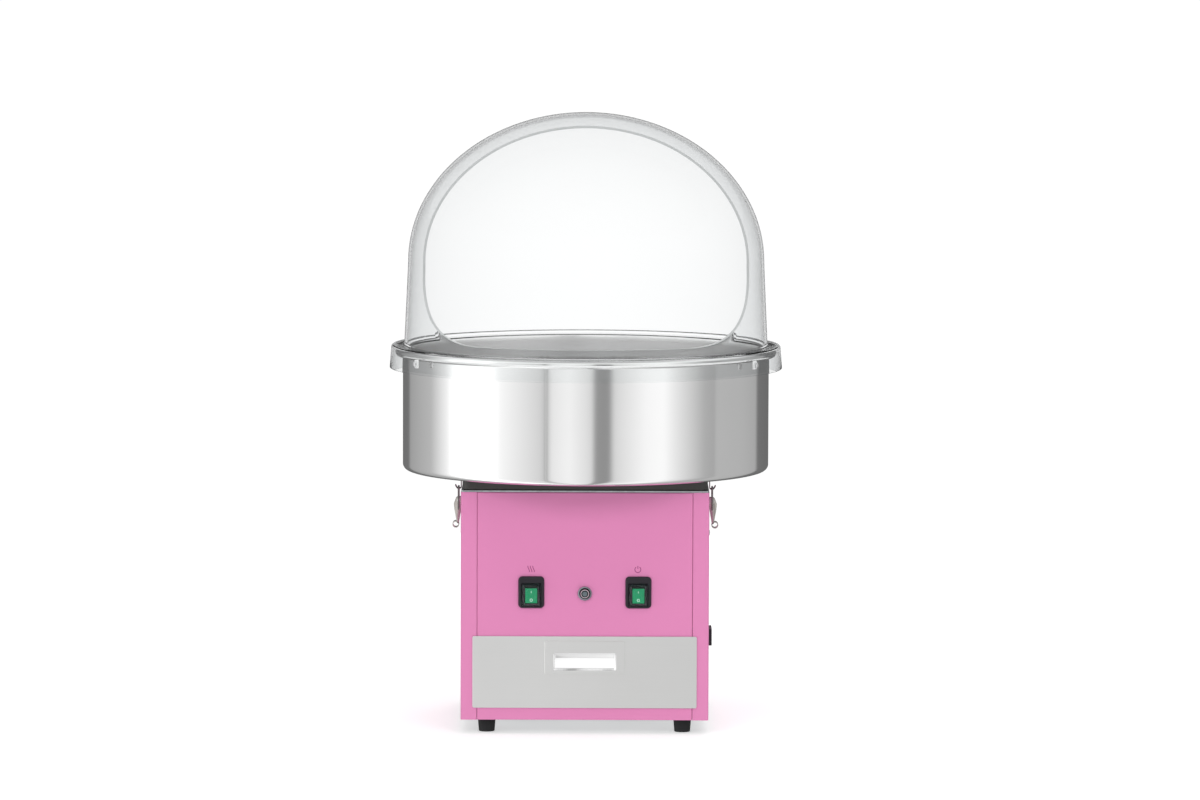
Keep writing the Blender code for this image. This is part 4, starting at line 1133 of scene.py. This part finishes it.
def make_pull():
    """The pull: a raised plate round a cup whose back wall leans away upwards.

    The cup's rings run from the leaning wall, whose depth grows by a fixed slope with height, out
    to the mouth, and return one sheet outside it.
    """
    mouth = ((42.0, 11.65), 1.6, PULL_PLACE)
    rim = ((54.0, 22.2), 2.0, (0, 103.2))
    plate = framed("pull_plate", rim, mouth, 169.3, 170.8, 0.55, "brushed_steel")
    fit(plate, "drawer", "stainless", "drawer_pull")
    lean = math.tan(math.radians(21.0))
    half, _, middle = mouth
    rings = [oblong((42.4, 12.0), 2.0, 169.2, 0.0, middle),
             oblong((41.9, 11.55), 1.6, 169.2, 0.0, middle)]
    for inset, back in ((1.0, 0.0), (1.2, 0.4), (1.8, 1.0), (2.7, 1.3), (3.1, 1.35)):
        ring = oblong(half, 2.6, 0.0, inset, middle)
        ring[:, 2] = 165.2 - back - (ring[:, 1] - middle[1] + half[1]) * lean
        rings.append(ring)
    shell = [oblong((41.3, 11.0), 2.0, 150.3, 0.0, (0, middle[1] + 0.2)),
             oblong((42.4, 12.0), 2.0, 169.1, 0.0, middle)]
    cup = skin("pull_cup", rings[::-1] + shell[::-1], "scoop_steel")
    fit(cup, "drawer", "stainless")


class CANDY_OT_drawer(bpy.types.Operator):
    """The drawer's brushed front and its scooped pull"""

    bl_idname = "candy.drawer"
    bl_label = "Drawer"

    def execute(self, context):
        outer, opening = ((151.0, 48.6), 2.5, (0, 83.1)), ((46.5, 14.65), 2.0, PULL_PLACE)
        face = framed("brushed_front", outer, opening, 167.3, 169.0, 0.45, "brushed_steel")
        fit(face, "drawer", "stainless", "drawer_front")
        make_pull()
        dress({"tray_steel": ["drawer_tray"],
               "zinc_steel": ["drawer_runner_left", "drawer_runner_right"]})
        return {"FINISHED"}


# ---- Switches -----------------------------------------------------------------------------------
ROCKER_AXLE = (166.5, 187.6)  # out from the axis, and up
ROCKER_TILT = math.radians(7.0)
SWITCH_REACH = 72.0  # either side of the middle
SWITCH_BACK = 167.3  # where the frames lie on the panel
BREAKER_PLACE = (0.0, 189.8)


def leaned(points):
    """Turns (forward, up) points about the rocker's axle by its resting tilt, top outwards."""
    forward, up = np.asarray(points, float).T
    turn, lean = math.cos(ROCKER_TILT), math.sin(ROCKER_TILT)
    return np.stack([ROCKER_AXLE[0] + forward * turn + up * lean,
                     ROCKER_AXLE[1] + up * turn - forward * lean], axis=-1)


def unit_cross(first, second):
    """Unit vector at right angles to both."""
    normal = np.cross(first, second)
    return normal / np.linalg.norm(normal)


def make_bezel(name, x):
    """The switch's frame: rounded face, stepped window, slanted throat, and the body behind."""
    axle = (x, ROCKER_AXLE[1])
    plate, plate_corner, plate_middle = (17.5, 21.5), 5.4, (x, 191.3)
    rings = [oblong((11.0, 13.5), 0.8, w, 0.0, axle) for w in (140.0, SWITCH_BACK)]
    rings.append(oblong(plate, plate_corner, SWITCH_BACK, 0.0, plate_middle))
    rings += lipped(plate, plate_corner, 170.8, lip(2.2, 5, 0.2), plate_middle)
    rings.append(oblong((13.6, 15.9), 1.6, 170.8, 0.0, (x, ROCKER_AXLE[1] + 0.2)))
    throat = ((12.6, 14.8, 1.2, 169.3), (12.4, 14.6, 1.0, 169.0), (9.4, 11.6, 0.6, 169.0),
              (9.3, 11.5, 0.6, 168.6), (9.3, 11.5, 0.6, 158.0))
    rings += [oblong((wide, high), corner, w, 0.0, axle) for wide, high, corner, w in throat]
    piece = skin(f"bezel_{name}", rings, "black_plastic")
    fit(piece, "cabinet", "black_plastic", f"switch_frame_{name}")


def make_boot(name, x):
    """The clear boot: a rounded box with its rings up the inside, over and down outside."""
    middle = (x, ROCKER_AXLE[1])
    inner, outer = ((10.0, 12.2), 1.2), ((12.1, 14.3), 2.2)
    inside = [oblong(*inner, 169.3, 0.0, middle)] + lipped(*inner, 176.0, 1.0, middle)
    outside = [oblong(*outer, 169.3, 0.0, middle)] + lipped(*outer, 177.1, lip(1.8, 4), middle)
    piece = skin(f"boot_{name}", inside[::-1] + outside, "clear_boot")
    piece.visible_shadow = False
    fit(piece, "cabinet", "clear_plastic", f"switch_boot_{name}")


def make_rocker(name, x):
    """The rocker: a shallow V drawn across its width, with its I and O laid on the two faces."""
    dip, slope = 5.5, math.tan(ROCKER_TILT)
    upper = [(dip, 0.0), (dip + 10.1 * slope, 10.1), (2.5, 9.6), (-3.0, 3.0)]
    outline = leaned(upper + [(forward, -up) for forward, up in upper[:0:-1]])
    rocker = drawn(f"rocker_paddle_{name}", outline, x - 8.0, x + 8.0, "green_rocker", "across")
    soften(rocker, 0.45, 3, 20)
    fit(rocker, f"{name}_rocker", "green_rocker", f"rocker_{name}")

    half, proud, lift = 0.48, 0.10, 0.03
    section = [(-proud, -half), (proud, -half), (proud, half), (-proud, half)]
    bar = leaned([(dip + up * slope + lift, up) for up in (3.9, 5.3, 6.7)])
    path = np.c_[bar, np.full(len(bar), x)]
    normal = unit_cross(path[1] - path[0], (0, 0, 1))
    stroke = carried(f"on_mark_{name}", section, path, normal, "white_mark", "across")
    fit(stroke, f"{name}_rocker", "white_plastic")

    angle = full_turn(28)
    up = -5.9 + 1.65 * np.sin(angle)
    ring = leaned(np.stack([dip - up * slope + lift, up], -1))
    loop = np.c_[ring, x + 1.55 * np.cos(angle)]
    normal = unit_cross(loop[7] - loop[0], loop[14] - loop[0])
    circle = carried(f"off_mark_{name}", section, loop, normal, "white_mark", "across", closed=True)
    fit(circle, f"{name}_rocker", "white_plastic")


class CANDY_OT_switches(bpy.types.Operator):
    """The two rocker switches with their clear boots"""

    bl_idname = "candy.switches"
    bl_label = "Switches"

    def execute(self, context):
        for name, x in (("heat", -SWITCH_REACH), ("power", SWITCH_REACH)):
            make_bezel(name, x)
            make_boot(name, x)
            make_rocker(name, x)
        return {"FINISHED"}


class CANDY_OT_breaker(bpy.types.Operator):
    """The breaker's ring nut, threaded neck and button, with dark rings as painted shade in their
    gaps
    """

    bl_idname = "candy.breaker"
    bl_label = "Breaker"

    def execute(self, context):
        middle = BREAKER_PLACE
        ring = outline_of([(6.0, 167.3), (9.5, 167.3)], bow((8.7, 169.9), 0.8, 0, 90, 3),
                          [(7.7, 170.7), (7.2, 170.2), (7.0, 168.2), (6.0, 168.2)])
        nut = turned("breaker_ring", ring, "dark_chrome", "front", middle, 48)
        fit(nut, "cabinet", "chrome", "breaker_nut")
        # A black rubber ring fills the groove inside the nut: painted shade where the groove lies
        # in shadow.
        shade_ring = [(5.75, 168.25), (6.95, 168.25), (6.95, 169.3), (5.75, 169.6)]
        shade_ring_piece = turned("breaker_seal", shade_ring, "rubber", "front", middle, 40)
        fit(shade_ring_piece, "cabinet", "black_rubber")
        neck = [(4.7, 163.0), (5.7, 163.0), (5.7, 174.1), (5.4, 174.5), (4.9, 174.5), (4.7, 174.2)]
        collar = turned("breaker_neck", neck, "bright_steel", "front", middle, 40)
        fit(collar, "cabinet", "chrome")
        # A dark sleeve fills the gap round the button: painted shade in that gap.
        sleeve = [(3.7, 160.0), (4.65, 160.0), (4.65, 173.4), (3.7, 173.0)]
        shade_sleeve_piece = turned("breaker_sleeve", sleeve, "rubber", "front", middle, 40)
        fit(shade_sleeve_piece, "cabinet", "black_plastic")
        case = slab(
            "breaker_case", (7.5, 17.8), 1.5, 132.0, 165.2, 0.6, "bakelite", "front", middle)
        fit(case, "cabinet", "bakelite", "breaker_body")
        push = outline_of(
            [(0, 149.0), (3.4, 149.0)], bow((2.6, 175.7), 0.8, 0, 90, 3), [(0, 176.4)])
        button = turned("breaker_push", push, "grey_button", "front", middle, 32, loop=False)
        fit(button, "reset_button", "grey_button", "breaker_button")
        return {"FINISHED"}


MARK_FACE = PANEL_FACE + 0.03


class CANDY_OT_marks(bpy.types.Operator):
    """The heat and power marks printed over the switches"""

    bl_idname = "candy.marks"
    bl_label = "Printed marks"

    def execute(self, context):
        half = context.scene.candy_sizes.mark_width / MM / 2
        section = [(-0.05, -half), (0.05, -half), (0.05, half), (-0.05, half)]
        height = np.linspace(-4.2, 4.2, 25)
        wave = np.stack([-1.05 * np.sin(height / 4.2 * 1.95), height, np.zeros(25)], -1)
        angle = np.radians(np.linspace(125, 415, 40))
        stroke = [(0, 1.0, 0), (0, 3.0, 0), (0, 5.0, 0)]
        waves = [(-72.3 + 3.3 * k, 222.6, MARK_FACE) for k in (-1, 0, 1)]
        middle = [(71.2, 222.2, MARK_FACE)]
        marks = (("heat_mark", wave, waves), ("power_mark_ring", around(4.0, angle, 0.0), middle),
                 ("power_mark_bar", stroke, middle))
        for name, path, spots in marks:
            mark = carried(
                name, section, path, (0, 0, 1), "printed_mark", "front", spots=spots)
            fit(mark, "cabinet", "black_plastic")
        return {"FINISHED"}


# ---- Latches ------------------------------------------------------------------------------------
LATCH_PIN = (173.6, 299.0)
BAIL_PIN = (173.6, 287.0)


def make_latch(name):
    """One toggle latch: backing plate, channel lever with a curled end, wire bail and catch."""
    side = f"{name}_profile"
    out, up = LATCH_PIN

    back = slab(f"latch_plate_{name}", (11.0, 28.5), 2.5, 167.3, 168.8, 0.4, "pressed_steel",
                name, (0, 277.5))
    fit(back, "cabinet", "stainless", f"latch_base_{name}")
    ear = outline_of([(168.2, up + 4.2)], bow((out, up), 4.2, 90, -90, 12), [(168.2, up - 4.2)])
    for part, low in (("front", -8.2), ("rear", 7.0)):
        wall = drawn(f"latch_ear_{name}_{part}", ear, low, low + 1.2, "pressed_steel", side)
        fit(soften(wall, 0.25), "cabinet", "stainless")
    head = bow((0, 8.2), (2.3, 1.2), 0, 90, 4)
    shank = [(0, -9.2), (2.0, -9.0), (2.3, -8.3), (1.5, -8.2), (1.5, 8.2)]
    pin = turned(f"latch_pin_{name}", outline_of(shank, head), "bright_steel", side, LATCH_PIN, 20,
                 loop=False)
    fit(pin, "cabinet", "stainless")
    rivets = turned(f"latch_rivets_{name}", screw_profile(3.5, 1.9, 168.8, -1.6), "bright_steel",
                    name, (0, 254.5), 24, loop=False, spots=[(-6.2, 0, 0), (6.2, 0, 0)])
    fit(rivets, "cabinet", "stainless")

    shape = outline_of(
        bow((0, 0), 4.3, 180, 20, 14),
        [(6.5, -5), (5.8, -12), (2.2, -32), (-0.4, -32), (-3.4, -14)])
    lever = drawn(f"latch_handle_{name}", shape + LATCH_PIN, -6.7, 6.7, "pressed_steel", side)
    hollow = np.array(
        [(-12, 3.1), (2.6, 3.1), (5.3, -4.8), (4.6, -12), (1.8, -27.5), (-12, -27.5)])
    channel = drawn("cutter", hollow + LATCH_PIN, -5.5, 5.5, None, side)
    carve(lever, channel)
    soften(lever, 0.3)
    fit(lever, f"{name}_lever", "stainless", f"latch_lever_{name}")
    curl = [(3.5, -6.7), (4.4, -6.7), (4.7, -6.4), (4.7, 6.4), (4.4, 6.7), (3.5, 6.7)]
    roll = turned(f"latch_curl_{name}", curl, "pressed_steel", side, (out + 3.8, up - 33.4), 32)
    fit(roll, f"{name}_lever", "stainless")

    half, length, bend = 10.0, 30.2, 2.2
    run = [(-5.0, 0.0), (-half, 0.0), (-half, length), (half, length), (half, 0.0), (5.0, 0.0)]
    path = rounded_path(run, bend, 8)
    path = np.stack([np.full(len(path), BAIL_PIN[0]), path[:, 1] + BAIL_PIN[1], path[:, 0]], -1)
    wire = carried(
        f"latch_loop_{name}", round_section(1.2, 14), path, (1, 0, 0), "latch_wire", side)
    fit(wire, f"{name}_bail", "stainless", f"latch_bail_{name}")

    slant, tip = math.radians(60), 5.2
    strip, under, hook, bottom = 170.1, 341.1, 175.53, 315.1
    corners = [(193.0, under), (strip, under), (strip, bottom), (hook, bottom),
               (hook + tip * math.cos(slant), bottom + tip * math.sin(slant))]
    line = rounded_path(corners, 1.6, 5)
    catch = drawn(f"catch_strip_{name}", strip_outline(line, SHEET), -7.5, 7.5, "latch_wire", side)
    fit(soften(catch, 0.2), "cabinet", "stainless", f"catch_plate_{name}")


class CANDY_OT_latches(bpy.types.Operator):
    """The two toggle latches that hold the bowl down"""

    bl_idname = "candy.latches"
    bl_label = "Latches"

    def execute(self, context):
        for name in ("left", "right"):
            make_latch(name)
        return {"FINISHED"}


# ---- Feet and inlet -----------------------------------------------------------------------------
class CANDY_OT_feet(bpy.types.Operator):
    """The rubber feet and the screws in their soles"""

    bl_idname = "candy.feet"
    bl_label = "Feet"

    def execute(self, context):
        top = 17.7
        profile = outline_of(
            [(0, top), (11.6, top), (12.0, top - 0.4)], bow((9.9, 0.8), 0.8, 0, -90, 4),
            [(4.4, 0.0), (4.0, 0.4), (4.0, 6.0), (0, 6.0)])
        for name in ("front_left", "front_right", "rear_left", "rear_right"):
            middle = box_middle(f"foot_{name}", "x", "y")
            foot = turned(f"rubber_foot_{name}", profile, "rubber", "up", middle, 40, loop=False)
            fit(foot, "cabinet", "black_rubber", f"foot_{name}")
        spots = [(x * 132.0, y * 143.0) for x in (-1, 1) for y in (-1, 1)]
        screws("foot_screws", spots, -5.9, 3.4, 1.6, "cabinet", "down")
        return {"FINISHED"}


class CANDY_OT_inlet(bpy.types.Operator):
    """The appliance inlet with its pins and screws"""

    bl_idname = "candy.inlet"
    bl_label = "Power inlet"

    def execute(self, context):
        middle = box_middle("power_inlet", "y", "z")
        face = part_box("power_inlet")[1].x / MM
        flange = slab("inlet_flange", (23.5, 11.5), 3.0, 167.3, face, 0.9, "black_plastic",
                      "right", middle)
        sleeve = [oblong((13.8, 9.8), 1.5, w, 0.0, middle) for w in (145.3, 168.0)]
        shell = skin("inlet_shell", sleeve, "black_plastic", "right")
        wide, high, chamfer = 12.2, 8.2, 4.5
        right = [(wide, -high), (wide, high - chamfer), (wide - chamfer, high)]
        socket = np.array([(-wide, -high), *right, (chamfer - wide, high), (-wide, high - chamfer)])
        for part in (flange, shell):
            carve(part, drawn("cutter", socket + middle, 149.3, 180.0, None, "right"))
            fit(part, "cabinet", "black_plastic")
        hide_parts("power_inlet")
        ends = ((148.0, 0), (164.6, 0), (165.3, 0.6))
        pin = [oblong((1.0, 2.1), 0.3, w, inset, middle) for w, inset in ends]
        blades = skin("inlet_pins", pin, "bright_steel", "right",
                      spots=[(-6.5, -1.2, 0), (0, 2.2, 0), (6.5, -1.2, 0)])
        fit(blades, "cabinet", "chrome")
        ends = [(middle[0] + reach, middle[1]) for reach in (-18.6, 18.6)]
        screws("inlet_screws", ends, face - 1.1, 2.7, 1.2, "cabinet", "right")
        return {"FINISHED"}


# ---- Spinner head -------------------------------------------------------------------------------
def make_band():
    """The head's perforated band: a cylinder grid without its hole cells, made a sheet."""
    columns, rows = 180, 13
    height = np.linspace(405.4, 434.6, rows + 1)[:, None]
    points = around(73.0, full_turn(columns)[None, :], height)
    faces = grid_faces(rows + 1, columns, False, True)
    row, column = np.divmod(np.arange(len(faces)), columns)
    solid = (row % 2 == 0) | ((column + row // 2) % 2 == 0)
    band = make_piece("perforated_band", place(points, "up"), faces[solid].tolist(), "bright_steel")
    sheet = band.modifiers.new("sheet", "SOLIDIFY")
    sheet.thickness = 0.9 * MM
    sheet.offset = 0.0
    return settle(band)


class CANDY_OT_head(bpy.types.Operator):
    """The spinner head: pan, posts, coil, perforated band, cap and nut"""

    bl_idname = "candy.head"
    bl_label = "Spinner head"

    def execute(self, context):
        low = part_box("head_pan")[0].z / MM + 5.0
        floor = low + 8.0
        dish = outline_of(
            bow((77.0, low + 7.0), 1.0, 90, 0, 3), bow((76.0, low + 2.0), 2.0, 0, -90, 4),
            [(18.0, low), (16.0, low - 5.0), (6.3, low - 5.0), (6.3, low + 10.0),
             (14.0, low + 10.0), (18.0, floor), (75.4, floor), (76.0, low + 8.0)])
        dish_piece = turned("head_dish", dish, "turned_aluminium", segments=128)
        fit(dish_piece, "spinner", "aluminium", "head_pan")
        cap_low = low + 33.0
        bearings = np.radians([90, 210, 330])
        spots = [(50 * math.cos(a), 50 * math.sin(a), 0) for a in bearings]
        post = [(0, floor - 1), (3.0, floor - 1), (3.0, cap_low - 0.3), (0, cap_low - 0.3)]
        posts = turned("head_posts", post, "bright_steel", segments=20, loop=False, spots=spots)
        fit(posts, "spinner", "stainless")
        cap = outline_of(
            [(30.0, cap_low + 8.0), (34.0, cap_low + 2.0)],
            bow((76.6, cap_low + 0.6), 1.4, 90, 0, 4),
            [(78.0, cap_low - 6.0), (76.5, cap_low - 6.0), (76.5, cap_low), (30.0, cap_low),
             (26.5, cap_low + 7.6), (27.2, cap_low + 8.4), (29.2, cap_low + 8.6)])
        cap[:, 1] = np.minimum(cap[:, 1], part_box("head_cap")[1].z / MM)
        lid = turned("head_lid", cap, "turned_aluminium", segments=128)
        fit(lid, "spinner", "aluminium", "head_cap")
        for k, (u, v, _) in enumerate(spots):
            screws(f"head_screw_{k}", [(u, v)], cap_low + 2.0, 3.2, 1.8, "spinner", "up")
        fit(make_band(), "spinner", "stainless", "head_band")

        turns, steps = 4, 72
        angle = np.linspace(0, 2 * math.pi * turns, turns * steps + 1)
        rise = (low + 15.6) + 13.2 * angle / angle[-1]
        heater = carried("heater_coil", round_section(2.3, 10), around(64.5, angle, rise),
                         (0, 0, 1), "heated_steel")
        fit(heater, "spinner", "zinc_steel", "head_heater")
        nut_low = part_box("head_nut")[0].z / MM
        bore, to_flat, to_corner = 6.3, 8.66, 9.7
        turn, sixth = np.radians(np.arange(0, 360, 360 / 52)), math.pi / 6
        hexagon = to_flat / np.cos((turn + sixth) % (2 * sixth) - sixth)
        across = np.minimum(hexagon, to_corner)
        section = [(bore, 0.0), (9.2, 0.0), (10.0, 0.8), (10.0, 6.2), (9.2, 7.0), (bore, 7.0)]
        rings = [around(np.minimum(across, reach), turn, nut_low + w) for reach, w in section]
        nut = skin("head_hex_nut", rings, "bright_steel", "up", loop=True)
        fit(nut, "spinner", "zinc_steel", "head_nut")
        return {"FINISHED"}


class CANDY_OT_works(bpy.types.Operator):
    """Finishes of the drive and plates that keep their frame shapes"""

    bl_idname = "candy.works"
    bl_label = "Inner works"

    def execute(self, context):
        dress({
            "zinc_steel": ["base_plate", "top_plate", "motor_bracket"],
            "cast_aluminium": ["spindle_housing", "motor_body"],
            "turned_aluminium": ["spindle_pulley", "motor_pulley"],
            "bright_steel": ["spindle", "motor_shaft", "bearing_upper", "bearing_lower"],
            "rubber": ["drive_belt"],
            "copper": ["slip_ring_upper", "slip_ring_lower"],
            "bakelite": ["slip_ring_insulator", "brush_holder"],
            "carbon": ["brush_upper", "brush_lower"],
        })
        return {"FINISHED"}


# ---- Add-on -------------------------------------------------------------------------------------
OPERATORS = (
    CANDY_OT_stage, CANDY_OT_bowl, CANDY_OT_dome, CANDY_OT_cabinet, CANDY_OT_drawer,
    CANDY_OT_switches, CANDY_OT_breaker, CANDY_OT_marks, CANDY_OT_latches, CANDY_OT_feet,
    CANDY_OT_inlet, CANDY_OT_head, CANDY_OT_works,
)


class CANDY_PT_machine(bpy.types.Panel):
    """Settings and pieces of the cotton candy machine"""

    bl_idname = "CANDY_PT_machine"
    bl_label = "Cotton candy machine"
    bl_space_type = "VIEW_3D"
    bl_region_type = "UI"
    bl_category = "Machine"

    def draw(self, context):
        for settings in (context.scene.candy_colours, context.scene.candy_sizes):
            box = self.layout.box()
            for setting in settings.__annotations__:
                box.prop(settings, setting)
        for operator in OPERATORS:
            self.layout.operator(operator.bl_idname)


CLASSES = (CandyColours, CandySizes, *OPERATORS, CANDY_PT_machine)


def register():
    for each in CLASSES:
        bpy.utils.register_class(each)
    bpy.types.Scene.candy_colours = PointerProperty(type=CandyColours)
    bpy.types.Scene.candy_sizes = PointerProperty(type=CandySizes)


def unregister():
    del bpy.types.Scene.candy_sizes
    del bpy.types.Scene.candy_colours
    for each in reversed(CLASSES):
        bpy.utils.unregister_class(each)


def main():
    """Builds everything in order."""
    register()
    for operator in OPERATORS:
        getattr(bpy.ops.candy, operator.bl_idname.split(".")[1])()


if __name__ == "__main__":
    main()
